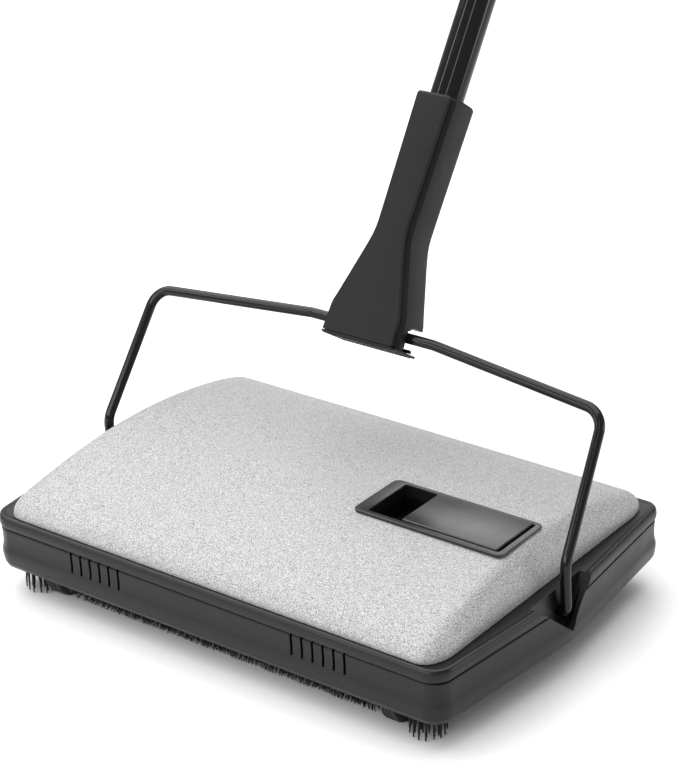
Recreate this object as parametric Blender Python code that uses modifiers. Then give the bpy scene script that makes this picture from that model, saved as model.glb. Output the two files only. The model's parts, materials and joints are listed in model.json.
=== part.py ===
"""Carpet sweeper: a moulded housing with a domed cover, two wheel-driven brush rollers, two dustpans
that a slider on the cover opens, two corner brushes, and a bail handle that tilts on the housing."""

import math

import bmesh
import bpy
from mathutils import Matrix, Vector

MM = 0.001
GAP = 0.3 * MM  # between pieces that touch

# Housing
FRONT_WIDTH = 292.5 * MM  # between the front corners
DEPTH = 206.7 * MM
SIDE_BULGE = 10.3 * MM  # how far each side stands out at its middle
FRONT_RADIUS = 12 * MM  # the corners in plan
REAR_RADIUS = 9 * MM
HOUSING_BOTTOM = 14.8 * MM
LEDGE_TOP = 45.4 * MM
FLANGE_BOTTOM = 42.6 * MM
FLANGE_HALF = (131 * MM, 83 * MM)  # the flange's inner edge, which the cover hides
VENT_FIRST = 57 * MM
VENT_PITCH = 6.56 * MM
VENTS_A_SIDE = 6
VENT_HEIGHTS = (26.9 * MM, 39.2 * MM)
VENT_WIDTH = 1.5 * MM
NOTCH = [(0, 22.5 * MM), (-32 * MM, 50 * MM), (24 * MM, 50 * MM)]  # apex, front and rear, in Y and Z

# Cover
COVER_HALF = (141 * MM, 99.4 * MM)
COVER_TOP = 69 * MM
COVER_BASE = LEDGE_TOP + GAP
COVER_CROWN = 9.8 * MM  # how far the top falls from its middle to the front and rear fillets
COVER_FILLET = (13 * MM, 20 * MM)
COVER_WALL = 2.2 * MM
COVER_SQUARENESS = 2.4  # of the corners in plan: 2 is round, more is squarer

# Slider in the cover
BEZEL_CENTRE = (84.8 * MM, -6.6 * MM)
BEZEL_HALF = (45.9 * MM, 19.7 * MM)
BEZEL_TOP = 69.7 * MM
OPENING_CENTRE = (86.95 * MM, -6.25 * MM)  # the bezel's rim is widest at its left
OPENING_HALF = (40 * MM, 16.9 * MM)
BEZEL_DEPTH = 7 * MM  # from its top to the lower edge of its skirt
WELL_BOTTOM = 53 * MM
SLIDER_TRAVEL = 19 * MM
SLIDER_LENGTH = 57.7 * MM
SLIDER_END_GAP = 1.4 * MM  # to the opening's right end
SLIDER_TOP = 70.5 * MM
SLIDER_THICKNESS = 2.6 * MM
STEM_X = 85 * MM

# Inner frame
DECK_HALF = (135 * MM, 95 * MM)
DECK = (34 * MM, 36.5 * MM)
SIDE_PLATE_X = 101.3 * MM
SIDE_PLATE_THICKNESS = 3 * MM
SCREW_PLACES = [(sx * 100 * MM, sy * 88 * MM) for sx in (-1, 1) for sy in (-1, 1)]

# Rollers
ROLLER_Y = 83 * MM
WHEEL_RADIUS = 15 * MM
WHEEL_WIDTH = 9 * MM
WHEEL_X = 110.8 * MM
BRUSH_RADIUS = 14.4 * MM
BRUSH_HALF = 97.5 * MM
BRUSH_ROWS = 10
BRUSH_TWIST = 1.5  # turns of the bristle rows along half the roller
SHAFT_RADIUS = 2 * MM

# Corner brushes
TUFT_PLACE = (127.6 * MM, 86.4 * MM)
TUFT_RADIUS = 9.6 * MM
TUFT_BASE = 14 * MM

# Dustpans
PAN_HINGE = (4 * MM, 11 * MM)  # distance from the middle plane, and height
PAN_HALF = 97 * MM
PAN_WALL = 1.6 * MM
PAN_OPEN = math.radians(40)
PAN_PIN_RADIUS = 1.5 * MM
KNUCKLE_RADIUS = 2.7 * MM
TAIL_X = 54 * MM
TAIL_THICKNESS = 2.4 * MM
TAIL_TOP = 49 * MM
CAM = (38.4 * MM, 40.4 * MM)

# Handle
PIVOT_Z = 32 * MM
HANDLE_TILT = math.radians(33.4)
WIRE_RADIUS = 2.85 * MM
WIRE_OFFSET = -16.5 * MM  # the wire's plane lies this far in front of the pivot
LEG_BEND = (152 * MM, 22.4 * MM)
TOP_CORNER = (147.1 * MM, 100.4 * MM)
INNER_BEND = (40 * MM, 110.6 * MM)
PIN_END = 139.8 * MM
BUSH_RADII = (4 * MM, 3.1 * MM)
BAIL_PLATE = (144.5 * MM, 147.1 * MM)
BAIL_BLOCK = (150.5 * MM, 34 * MM)  # how far out, and to front and rear, the plate is backed
TUBE_OFFSET = -15.4 * MM  # and the tubes' axis this far
TUBE_RADIUS = 9.45 * MM
TUBE_WALL = 0.6 * MM
TUBE_START = 118 * MM
TUBE_ENDS = (410 * MM, 700 * MM, 1008 * MM)
GRIP = (896 * MM, 1016 * MM)
HANDLE_END = 1040 * MM
HANGING_HOLE_RADIUS = 6 * MM

# The handle leans back, so the middle of the whole object lies behind the body's.
HANDLE_REACH = (
    TUBE_OFFSET * math.cos(HANDLE_TILT)
    + (HANDLE_END - 11.5 * MM) * math.sin(HANDLE_TILT)
    + 11.5 * MM
)
BODY_Y = -(HANDLE_REACH - DEPTH / 2) / 2


# ---------------------------------------------------------------- scene and objects


def clear_scene():
    for obj in list(bpy.data.objects):
        bpy.data.objects.remove(obj, do_unlink=True)


def new_collection(name, parent=None):
    made = bpy.data.collections.new(name)
    (parent or bpy.context.scene.collection).children.link(made)
    return made


clear_scene()
PARTS = new_collection("carpet_sweeper")
CUTTERS = new_collection("cutters")
CUTTERS.hide_render = True

MATERIALS = {
    # name: colour, roughness, metallic
    "matte_black": ((0.032, 0.032, 0.034), 0.55, 0.0),
    "silver_fleck": ((0.6, 0.6, 0.6), 0.45, 0.35),
    "satin_grey": ((0.075, 0.075, 0.08), 0.4, 0.0),
    "well_black": ((0.01, 0.01, 0.01), 0.6, 0.0),
    "gloss_black": ((0.012, 0.012, 0.013), 0.12, 0.2),
    "bristle_black": ((0.02, 0.02, 0.02), 0.7, 0.0),
    "rubber": ((0.02, 0.02, 0.02), 0.8, 0.0),
    "steel": ((0.55, 0.55, 0.55), 0.3, 1.0),
    "grey_nylon": ((0.25, 0.25, 0.26), 0.5, 0.0),
}


def material_for(node, look):
    colour, roughness, metallic = MATERIALS[look]
    made = bpy.data.materials.new(node)
    made.use_nodes = True
    shader = made.node_tree.nodes["Principled BSDF"]
    shader.inputs["Base Color"].default_value = (*colour, 1.0)
    shader.inputs["Roughness"].default_value = roughness
    shader.inputs["Metallic"].default_value = metallic
    made.diffuse_color = (*colour, 1.0)
    return made


def place(obj, parent, collection=None, look=None):
    (collection or PARTS).objects.link(obj)
    obj.parent = parent
    if look:
        obj.data.materials.append(material_for(obj.name, look))
    if collection:
        obj.hide_render = True
        obj.display_type = "WIRE"
    return obj


def empty(name, location=(0, 0, 0), rotation=(0, 0, 0), parent=None):
    made = bpy.data.objects.new(name, None)
    PARTS.objects.link(made)
    made.location, made.rotation_euler = location, rotation
    made.parent = parent
    return made


def mesh_object(name, bm, parent, look=None, collection=None, smooth=True):
    bmesh.ops.remove_doubles(bm, verts=bm.verts, dist=1e-6)
    bmesh.ops.recalc_face_normals(bm, faces=bm.faces)
    mesh = bpy.data.meshes.new(name)
    bm.to_mesh(mesh)
    bm.free()
    if smooth:
        mesh.shade_smooth()
        mesh.set_sharp_from_angle(angle=math.radians(35))
    return place(bpy.data.objects.new(name, mesh), parent, collection, look)


def cutter_group(name):
    return new_collection(name, CUTTERS)


def boolean(obj, operation, collection):
    modifier = obj.modifiers.new(operation.lower(), "BOOLEAN")
    modifier.operation = operation
    modifier.operand_type = "COLLECTION"
    modifier.collection = collection
    modifier.solver = "EXACT"


# ---------------------------------------------------------------- shapes


def add_box(bm, low, high):
    low, high = Vector(low), Vector(high)
    size = Matrix.Diagonal((*(high - low), 1))
    bmesh.ops.create_cube(bm, size=1, matrix=Matrix.Translation((low + high) / 2) @ size)


def add_cylinder(bm, start, end, radius, sides=20, end_radius=None):
    start, end = Vector(start), Vector(end)
    along = end - start
    turn = Vector((0, 0, 1)).rotation_difference(along).to_matrix().to_4x4()
    bmesh.ops.create_cone(
        bm,
        cap_ends=True,
        segments=sides,
        radius1=radius,
        radius2=radius if end_radius is None else end_radius,
        depth=along.length,
        matrix=Matrix.Translation((start + end) / 2) @ turn,
    )


def box_object(name, low, high, parent, look=None, collection=None):
    bm = bmesh.new()
    add_box(bm, low, high)
    return mesh_object(name, bm, parent, look, collection, smooth=False)


def cylinder_object(name, start, end, radius, parent, look=None, collection=None, sides=20):
    bm = bmesh.new()
    add_cylinder(bm, start, end, radius, sides)
    return mesh_object(name, bm, parent, look, collection)


def prism(name, outline, low, high, axis, parent, look=None, collection=None):
    """A closed outline, given in the two other axes in XYZ order, drawn out along axis."""

    def point(a, b, along):
        order = {"X": (along, a, b), "Y": (a, along, b), "Z": (a, b, along)}
        return order[axis]

    bm = bmesh.new()
    ends = [[bm.verts.new(point(a, b, along)) for a, b in outline] for along in (low, high)]
    for ring in ends:
        bm.faces.new(ring)
    count = len(outline)
    for i in range(count):
        j = (i + 1) % count
        bm.faces.new((ends[0][i], ends[0][j], ends[1][j], ends[1][i]))
    return mesh_object(name, bm, parent, look, collection, smooth=False)


def turned(name, profile, parent, look, steps=24, location=(0, 0, 0), along="X"):
    """A closed profile of (radius, distance along the axis), turned about its axis."""
    bm = bmesh.new()
    points = [bm.verts.new((radius, 0, height)) for radius, height in profile]
    for a, b in zip(points, points[1:] + points[:1]):
        bm.edges.new((a, b))
    mesh = bpy.data.meshes.new(name)
    bm.to_mesh(mesh)
    bm.free()
    obj = place(bpy.data.objects.new(name, mesh), parent, look=look)
    obj.location = location
    if along == "X":
        obj.rotation_euler = (0, math.pi / 2, 0)
    screw = obj.modifiers.new("turn", "SCREW")
    screw.steps = screw.render_steps = steps
    screw.use_merge_vertices = True
    screw.merge_threshold = 1e-5
    return obj


def ring_profile(outer, inner, length, bevel=0.0):
    """The profile of a ring, which runs down its outer side."""
    half = length / 2
    return [
        (inner, half),
        (outer - bevel, half),
        (outer, half - bevel),
        (outer, -half + bevel),
        (outer - bevel, -half),
        (inner, -half),
    ] if bevel else [(inner, half), (outer, half), (outer, -half), (inner, -half)]


def loft(name, rings, parent, look, closed=False, collection=None):
    """Faces between rings of equally many points. Closed joins the last ring to the first."""
    bm = bmesh.new()
    made = [[bm.verts.new(point) for point in ring] for ring in rings]
    pairs = list(zip(made, made[1:]))
    if closed:
        pairs.append((made[-1], made[0]))
    else:
        bm.faces.new(made[0])
        bm.faces.new(made[-1])
    count = len(made[0])
    for lower, upper in pairs:
        for i in range(count):
            j = (i + 1) % count
            bm.faces.new((lower[i], lower[j], upper[j], upper[i]))
    return mesh_object(name, bm, parent, look, collection)


def wire(name, points, radius, parent, look, resolution=2):
    """A round wire through points, as a mesh."""
    curve = bpy.data.curves.new(name, "CURVE")
    curve.dimensions = "3D"
    curve.bevel_depth, curve.bevel_resolution = radius, resolution
    curve.use_fill_caps = True
    spline = curve.splines.new("POLY")
    spline.points.add(len(points) - 1)
    for point, place_at in zip(spline.points, points):
        point.co = (*place_at, 1)
    return place(bpy.data.objects.new(name, curve), parent, look=look)


def rounded_path(corners, radii, steps=5):
    """The corners joined by straight runs, with an arc of the given radius at each inner corner."""
    corners = [Vector(corner) for corner in corners]
    path = [corners[0]]
    for before, corner, after, radius in zip(corners, corners[1:], corners[2:], radii):
        back, on = (before - corner).normalized(), (after - corner).normalized()
        half = back.angle(on) / 2
        centre = corner + (back + on).normalized() * (radius / math.sin(half))
        start = corner + back * (radius / math.tan(half)) - centre
        end = corner + on * (radius / math.tan(half)) - centre
        turn = start.rotation_difference(end)
        for step in range(steps + 1):
            part = turn.copy()
            part.angle = turn.angle * step / steps
            path.append(centre + part @ start)
    return path + [corners[-1]]


def helix(centre, radius, length, turns, steps=8):
    """Points along a coil about X."""
    count = turns * steps
    return [
        (
            centre[0] - length / 2 + length * i / count,
            centre[1] + radius * math.cos(2 * math.pi * i / steps),
            centre[2] + radius * math.sin(2 * math.pi * i / steps),
        )
        for i in range(count + 1)
    ]


# ---------------------------------------------------------------- housing


def corner_arc(centre, radius, first, last, steps=6):
    return [
        (
            centre[0] + radius * math.cos(first + (last - first) * i / steps),
            centre[1] + radius * math.sin(first + (last - first) * i / steps),
        )
        for i in range(steps + 1)
    ]


def mirrored_plan(front, side, rear):
    """A whole plan from its right corners, both given as front ones, and the points of its right side."""
    right = front + side + [(x, -y) for x, y in reversed(rear)]
    return right + [(-x, y) for x, y in reversed(right)]


def housing_plan(inset):
    """The housing's plan, moved inwards: straight front and rear, and sides that are a shallow V."""
    lean = math.atan2(SIDE_BULGE, DEPTH / 2)

    def corner(radius):
        centre_x = FRONT_WIDTH / 2 - radius * (1 - math.sin(lean)) / math.cos(lean)
        return corner_arc((centre_x, radius - DEPTH / 2), radius - inset, -math.pi / 2, -lean)

    apex = FRONT_WIDTH / 2 + SIDE_BULGE - inset / math.cos(lean)
    near = 10 * MM
    side = [
        (apex - near * math.tan(lean), -near),
        (apex - near * math.tan(lean) / 3, 0),
        (apex - near * math.tan(lean), near),
    ]
    return mirrored_plan(corner(FRONT_RADIUS), side, corner(REAR_RADIUS))


def rectangle_plan(half_x, half_y, radius):
    arc = corner_arc((half_x - radius, radius - half_y), radius, -math.pi / 2, 0)
    side = [(half_x, y) for y in (-10 * MM, 0, 10 * MM)]
    return mirrored_plan(arc, side, arc)


def at_height(plan, z):
    return [(x, y, z) for x, y in plan]


def lower_housing(parent):
    bottom = HOUSING_BOTTOM / MM
    outer = [  # inset and height, up the outside
        (3.8, bottom),
        (2.8, bottom + 0.2),
        (1.9, bottom + 1.1),
        (1.2, 17.2),
        (0.4, 20.5),
        (0.1, 24.2),
        (0.5, 26.4),
        (1.05, 30.0),
        (0.9, 38.4),
        (1.5, 39.0),
        (0.2, 40.2),
        (0.0, 42.0),
        (0.2, 44.6),
        (1.2, 46.0),
        (2.4, 46.2),
        (3.4, 45.4),
    ]
    inner = [(4.6, FLANGE_BOTTOM / MM), (3.6, 30.0), (3.6, 20.0), (4.2, bottom)]  # down the inside
    rings = [at_height(housing_plan(inset * MM), z * MM) for inset, z in outer]
    flange = rectangle_plan(*FLANGE_HALF, 6 * MM)
    rings += [at_height(flange, LEDGE_TOP), at_height(flange, FLANGE_BOTTOM)]
    rings += [at_height(housing_plan(inset * MM), z * MM) for inset, z in inner]
    obj = loft("lower_housing", rings, parent, "matte_black", closed=True)

    # A block inside each side carries a bush, and backs the notch that the bail's leg stands in.
    joined = cutter_group("housing_joined")
    for side in (-1, 1):
        ends = sorted((side * BAIL_PLATE[0], side * BAIL_BLOCK[0]))
        block = (ends[0], -BAIL_BLOCK[1], 20 * MM), (ends[1], BAIL_BLOCK[1], 44 * MM)
        box_object(f"bail_block_{side}", *block, parent, collection=joined)
    boolean(obj, "UNION", joined)

    cuts = cutter_group("housing_cuts")
    for side in (-1, 1):
        ends = sorted((side * BAIL_PLATE[1], side * 160 * MM))
        prism(f"notch_{side}", NOTCH, *ends, "X", parent, collection=cuts)
        pin = sorted((side * 140 * MM, side * 150 * MM))
        bore = BUSH_RADII[0] + 0.15 * MM
        axis = (pin[0], 0, PIVOT_Z), (pin[1], 0, PIVOT_Z)
        cylinder_object(f"bush_hole_{side}", *axis, bore, parent, collection=cuts)
        for i in range(VENTS_A_SIDE):
            x = side * (VENT_FIRST + i * VENT_PITCH)
            low = (x - VENT_WIDTH / 2, -DEPTH / 2 - 3 * MM, VENT_HEIGHTS[0])
            high = (x + VENT_WIDTH / 2, -DEPTH / 2 + 7 * MM, VENT_HEIGHTS[1])
            box_object(f"vent_{side}_{i}", low, high, parent, collection=cuts)
    for i, (x, y) in enumerate(SCREW_PLACES):
        low, high = (x, y, 40 * MM), (x, y, 48 * MM)
        cylinder_object(f"flange_hole_{i}", low, high, 1.6 * MM, parent, collection=cuts, sides=12)
    boolean(obj, "DIFFERENCE", cuts)


# ---------------------------------------------------------------- cover


def cover_point(u, v, inset=0.0):
    """The outer surface at (u, v), each from -1 to 1 with the fillets beyond 0.7, moved in by inset."""
    flat = 0.7
    places, fillets = [], []
    for value, half, fillet in zip((u, v), COVER_HALF, COVER_FILLET):
        size = half - fillet
        places.append(math.copysign(min(abs(value) / flat, 1) * size, value))
        beyond = max(abs(value) - flat, 0) / (1 - flat)
        fillets.append(math.sin(beyond * math.pi / 2))
    power = COVER_SQUARENESS
    total = (fillets[0] ** power + fillets[1] ** power) ** (1 / power)
    largest = max(fillets)
    shrink = largest / total if total else 1
    x, y = (
        place + math.copysign(part * shrink * (fillet - inset), value)
        for place, part, fillet, value in zip(places, fillets, COVER_FILLET, (u, v))
    )
    reach = COVER_HALF[1] - COVER_FILLET[1]
    crown = COVER_CROWN * min(abs(y) / reach, 1.08) ** 2 + 0.5 * MM * (x / COVER_HALF[0]) ** 2
    rise = COVER_TOP - inset - crown - COVER_BASE
    return x, y, COVER_BASE + rise * math.sqrt(max(1 - largest**2, 0))


def cover_lines(inner, outer):
    """Values from -1 to 1, with inner steps over the flat and outer steps over each fillet."""
    flat = [0.7 * i / inner for i in range(-inner, inner + 1)]
    rim = [0.7 + 0.3 * (i + 1) / outer for i in range(outer)]
    return [-value for value in reversed(rim)] + flat + rim


def top_cover(parent):
    bm = bmesh.new()
    across, along = cover_lines(3, 5), cover_lines(5, 5)
    shells = [
        [[bm.verts.new(cover_point(u, v, inset)) for v in along] for u in across]
        for inset in (0, COVER_WALL)
    ]
    for shell in shells:
        for column, after in zip(shell, shell[1:]):
            for i in range(len(along) - 1):
                bm.faces.new((column[i], column[i + 1], after[i + 1], after[i]))
    rims = [edge_loop(shell) for shell in shells]
    for i in range(len(rims[0])):
        j = (i + 1) % len(rims[0])
        bm.faces.new((rims[0][i], rims[0][j], rims[1][j], rims[1][i]))
    obj = mesh_object("top_cover", bm, parent, "silver_fleck")

    joined = cutter_group("cover_joined")
    for i, (x, y) in enumerate(SCREW_PLACES):
        post = (x, y, COVER_BASE), (x, y, 54.5 * MM)
        cylinder_object(f"cover_post_{i}", *post, 3.4 * MM, parent, collection=joined, sides=16)
    boolean(obj, "UNION", joined)

    cuts = cutter_group("cover_cuts")
    for i, (x, y) in enumerate(SCREW_PLACES):
        pilot = (x, y, 44 * MM), (x, y, 51.5 * MM)
        cylinder_object(f"pilot_{i}", *pilot, 1.5 * MM, parent, collection=cuts, sides=12)
    reach = BEZEL_HALF[0] - 1.2 * MM, BEZEL_HALF[1] - 1.2 * MM
    opening = rounded_rectangle(BEZEL_CENTRE, reach, 3 * MM)
    prism("bezel_opening", opening, 50 * MM, 75 * MM, "Z", parent, collection=cuts)
    boolean(obj, "DIFFERENCE", cuts)


def edge_loop(shell):
    """The outer points of a grid, in order."""
    last = len(shell[0]) - 1
    return (
        [column[0] for column in shell]
        + shell[-1][1:]
        + [column[last] for column in reversed(shell[:-1])]
        + list(reversed(shell[0][1:-1]))
    )


def rounded_rectangle(centre, half, radius, steps=4):
    points = []
    for quarter, (sx, sy) in enumerate(((1, -1), (1, 1), (-1, 1), (-1, -1))):
        first = (quarter - 1) * math.pi / 2
        middle = (centre[0] + sx * (half[0] - radius), centre[1] + sy * (half[1] - radius))
        points += corner_arc(middle, radius, first, first + math.pi / 2, steps)
    return points


# ---------------------------------------------------------------- slider


def slider_bezel(parent):
    """A flat rim that stands on the cover, with a skirt that passes down through it."""
    inner = rounded_rectangle(OPENING_CENTRE, OPENING_HALF, 1.2 * MM)
    skirt_half = BEZEL_HALF[0] - 1.5 * MM, BEZEL_HALF[1] - 1.5 * MM
    skirt = rounded_rectangle(BEZEL_CENTRE, skirt_half, 2.7 * MM)
    outer = rounded_rectangle(BEZEL_CENTRE, BEZEL_HALF, 4 * MM)
    edge = 0.6 * MM
    top_half = BEZEL_HALF[0] - edge, BEZEL_HALF[1] - edge
    top_edge = rounded_rectangle(BEZEL_CENTRE, top_half, 3.6 * MM)
    cover_here = COVER_TOP + GAP - 0.1 * MM
    rings = [
        at_height(inner, BEZEL_TOP - BEZEL_DEPTH),
        at_height(inner, BEZEL_TOP),
        at_height(top_edge, BEZEL_TOP),
        at_height(outer, BEZEL_TOP - 0.4 * MM),
        at_height(outer, cover_here),
        at_height(skirt, cover_here),
        at_height(skirt, BEZEL_TOP - BEZEL_DEPTH),
    ]
    loft("slider_bezel", rings, parent, "satin_grey", closed=True)


def finger_well(parent):
    """A tray under the bezel, with a slot in its floor for the slider's stem."""
    top = BEZEL_TOP - BEZEL_DEPTH - GAP
    outer_half = OPENING_HALF[0] + 1.6 * MM, OPENING_HALF[1] + 1.6 * MM
    outer = rounded_rectangle(OPENING_CENTRE, outer_half, 2.8 * MM)
    inner = rounded_rectangle(OPENING_CENTRE, OPENING_HALF, 1.2 * MM)
    floor = WELL_BOTTOM + 1.6 * MM
    bm = bmesh.new()
    rings = [
        [bm.verts.new(point) for point in at_height(plan, z)]
        for plan, z in ((inner, floor), (inner, top), (outer, top), (outer, WELL_BOTTOM))
    ]
    bm.faces.new(rings[0])
    bm.faces.new(rings[-1])
    for lower, upper in zip(rings, rings[1:]):
        for i in range(len(lower)):
            j = (i + 1) % len(lower)
            bm.faces.new((lower[i], lower[j], upper[j], upper[i]))
    obj = mesh_object("finger_well", bm, parent, "well_black")
    cuts = cutter_group("well_cuts")
    slot = (
        (STEM_X - SLIDER_TRAVEL - 4 * MM, OPENING_CENTRE[1] - 4 * MM, 50 * MM),
        (STEM_X + 4 * MM, OPENING_CENTRE[1] + 4 * MM, 70 * MM),
    )
    box_object("stem_slot", *slot, parent, collection=cuts)
    boolean(obj, "DIFFERENCE", cuts)


def slider_plate(parent):
    """The plate that a finger pushes, with the stem that carries the cam."""
    right = OPENING_CENTRE[0] + OPENING_HALF[0] - SLIDER_END_GAP
    row = OPENING_CENTRE[1]
    middle = (right - SLIDER_LENGTH / 2, row)
    half = (SLIDER_LENGTH / 2, OPENING_HALF[1] - GAP)
    edge = 0.7 * MM
    outlines = [
        (rounded_rectangle(middle, half, 0.8 * MM), SLIDER_TOP - SLIDER_THICKNESS),
        (rounded_rectangle(middle, half, 0.8 * MM), SLIDER_TOP - edge),
        (rounded_rectangle(middle, (half[0] - edge, half[1] - edge), 0.8 * MM), SLIDER_TOP),
    ]
    rings = [at_height(plan, z) for plan, z in outlines]
    obj = loft("slider_plate", rings, parent, "satin_grey")
    joined = cutter_group("slider_joined")
    stem = (STEM_X - 3 * MM, row - 3 * MM), (STEM_X + 3 * MM, row + 3 * MM)
    low, high = CAM[1] + GAP, SLIDER_TOP - 1 * MM
    box_object("stem", (*stem[0], low), (*stem[1], high), parent, collection=joined)
    boolean(obj, "UNION", joined)
    cuts = cutter_group("slider_cuts")
    pilot = (STEM_X, row, 40 * MM), (STEM_X, row, 50 * MM)
    cylinder_object("stem_pilot", *pilot, 1.3 * MM, parent, collection=cuts, sides=12)
    boolean(obj, "DIFFERENCE", cuts)


def cam_half_width(travel):
    """How far from the middle plane a pan's tail stands once the slider has moved this far."""
    angle = PAN_OPEN * travel / SLIDER_TRAVEL
    height = CAM[0] - PAN_HINGE[1]
    face = TAIL_THICKNESS / 2
    return PAN_HINGE[0] - face / math.cos(angle) + height * math.tan(angle) - 0.5 * MM


def spreader_cam(parent):
    """A wedge that drives the two pans' tails apart as the slider moves."""
    first = TAIL_X + 2 * MM
    right = [(first + SLIDER_TRAVEL * i / 8, cam_half_width(SLIDER_TRAVEL * i / 8)) for i in range(9)]
    tip = [(first - 8 * MM, 1.2 * MM), (first - 2 * MM, cam_half_width(0))]
    upper = tip + right + [(right[-1][0] + 3 * MM, right[-1][1]), (STEM_X + 8 * MM, 10 * MM)]
    outline = upper + [(x, -y) for x, y in reversed(upper)]
    obj = prism("spreader_cam", outline, *CAM, "Z", parent, "grey_nylon")
    cuts = cutter_group("cam_cuts")
    at = (STEM_X, OPENING_CENTRE[1])
    hole = (*at, 30 * MM), (*at, 45 * MM)
    cylinder_object("cam_hole", *hole, 1.6 * MM, parent, collection=cuts, sides=12)
    boolean(obj, "DIFFERENCE", cuts)
    screw("cam_screw", at, CAM[0] - GAP, 8 * MM, 1.1 * MM, 2.6 * MM, parent)


def screw(name, at, head_top, length, radius, head_radius, parent):
    """A pan-head screw that points up, its head's flat side at head_top."""
    head = 1.5 * MM
    profile = [
        (0, length),
        (radius * 0.6, length),
        (radius, length - radius),
        (radius, 0),
        (head_radius, 0),
        (head_radius, -head * 0.6),
        (head_radius * 0.75, -head),
        (0, -head),
    ]
    bm = bmesh.new()
    points = [bm.verts.new((r, 0, z)) for r, z in profile]
    for a, b in zip(points, points[1:]):
        bm.edges.new((a, b))
    mesh = bpy.data.meshes.new(name)
    bm.to_mesh(mesh)
    bm.free()
    obj = place(bpy.data.objects.new(name, mesh), parent, look="steel")
    obj.location = (*at, head_top)
    turn = obj.modifiers.new("turn", "SCREW")
    turn.steps = turn.render_steps = 8
    turn.use_merge_vertices = True
    turn.merge_threshold = 1e-5


# ---------------------------------------------------------------- inner frame


def chassis(parent):
    bm = bmesh.new()
    add_box(bm, (-DECK_HALF[0], -DECK_HALF[1], DECK[0]), (DECK_HALF[0], DECK_HALF[1], DECK[1]))
    obj = mesh_object("chassis", bm, parent, "matte_black", smooth=False)
    half = SIDE_PLATE_THICKNESS / 2
    joined = cutter_group("chassis_joined")
    for side in (-1, 1):
        x = side * SIDE_PLATE_X
        outline = [(-94, 9), (-92, 7), (92, 7), (94, 9), (94, 35), (-94, 35)]
        outline = [(y * MM, z * MM) for y, z in outline]
        prism(f"plate_{side}", outline, x - half, x + half, "X", parent, collection=joined)
    for i, (x, y) in enumerate(SCREW_PLACES):
        post = (x, y, 35 * MM), (x, y, FLANGE_BOTTOM - GAP)
        cylinder_object(f"deck_post_{i}", *post, 3.6 * MM, parent, collection=joined, sides=16)
    spring_post = (113 * MM, OPENING_CENTRE[1], 35 * MM), (113 * MM, OPENING_CENTRE[1], 43 * MM)
    cylinder_object("spring_post", *spring_post, 1.5 * MM, parent, collection=joined, sides=12)
    boolean(obj, "UNION", joined)

    cuts = cutter_group("chassis_cuts")
    for side in (-1, 1):
        x = side * SIDE_PLATE_X
        for end in (-1, 1):
            bores = (
                (end * ROLLER_Y, WHEEL_RADIUS, 4.15 * MM),
                (end * PAN_HINGE[0], PAN_HINGE[1], PAN_PIN_RADIUS + GAP),
            )
            for y, z, radius in bores:
                name = f"bore_{side}_{end}_{round(radius / MM)}"
                start, stop = (x - 4 * MM, y, z), (x + 4 * MM, y, z)
                cylinder_object(name, start, stop, radius, parent, collection=cuts, sides=16)
    for end in (-1, 1):
        inner, outer = sorted((end * 1.5 * MM, end * 28 * MM))
        slot = (TAIL_X - 3 * MM, inner, 30 * MM), (TAIL_X + 3 * MM, outer, 40 * MM)
        box_object(f"tail_slot_{end}", *slot, parent, collection=cuts)
    for i, (x, y) in enumerate(SCREW_PLACES):
        low, high = (x, y, 30 * MM), (x, y, 45 * MM)
        cylinder_object(f"deck_hole_{i}", low, high, 1.6 * MM, parent, collection=cuts, sides=12)
        # The side plates stand clear of the screw heads.
        relief = (x, y, 31.8 * MM), (x, y, 34 * MM)
        cylinder_object(f"relief_{i}", *relief, 3.4 * MM, parent, collection=cuts, sides=16)
    boolean(obj, "DIFFERENCE", cuts)


def cover_screws(parent):
    for x, y in SCREW_PLACES:
        name = ("front_" if y < 0 else "rear_") + ("left" if x < 0 else "right")
        screw(f"cover_screw_{name}", (x, y), DECK[0] - GAP, 17 * MM, 1.2 * MM, 2.7 * MM, parent)


def corner_brush(name, x, y, parent):
    """A round block under the deck, with thick bristles that splay a little."""
    bm = bmesh.new()
    add_cylinder(bm, (0, 0, TUFT_BASE), (0, 0, DECK[0] - GAP), TUFT_RADIUS, 20)
    obj = mesh_object(name, bm, parent, "bristle_black")
    obj.location = (x, y, 0)
    joined = cutter_group(f"{name}_bristles")
    rings = ((1, 0.0, 0.0), (5, 0.42, 0.3), (9, 0.82, 0.0))
    for count, reach, phase in rings:
        for i in range(count):
            angle = 2 * math.pi * i / count + phase
            out = TUFT_RADIUS * reach
            root = (out * math.cos(angle), out * math.sin(angle), TUFT_BASE + 1 * MM)
            splay = out * 1.12
            tip = (splay * math.cos(angle), splay * math.sin(angle), 0)
            bristle = bmesh.new()
            add_cylinder(bristle, tip, root, 0.55 * MM, 5, 0.8 * MM)
            pin = mesh_object(f"{name}_{count}_{i}", bristle, parent, collection=joined)
            pin.location = (x, y, 0)
    boolean(obj, "UNION", joined)


# ---------------------------------------------------------------- rollers


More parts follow.
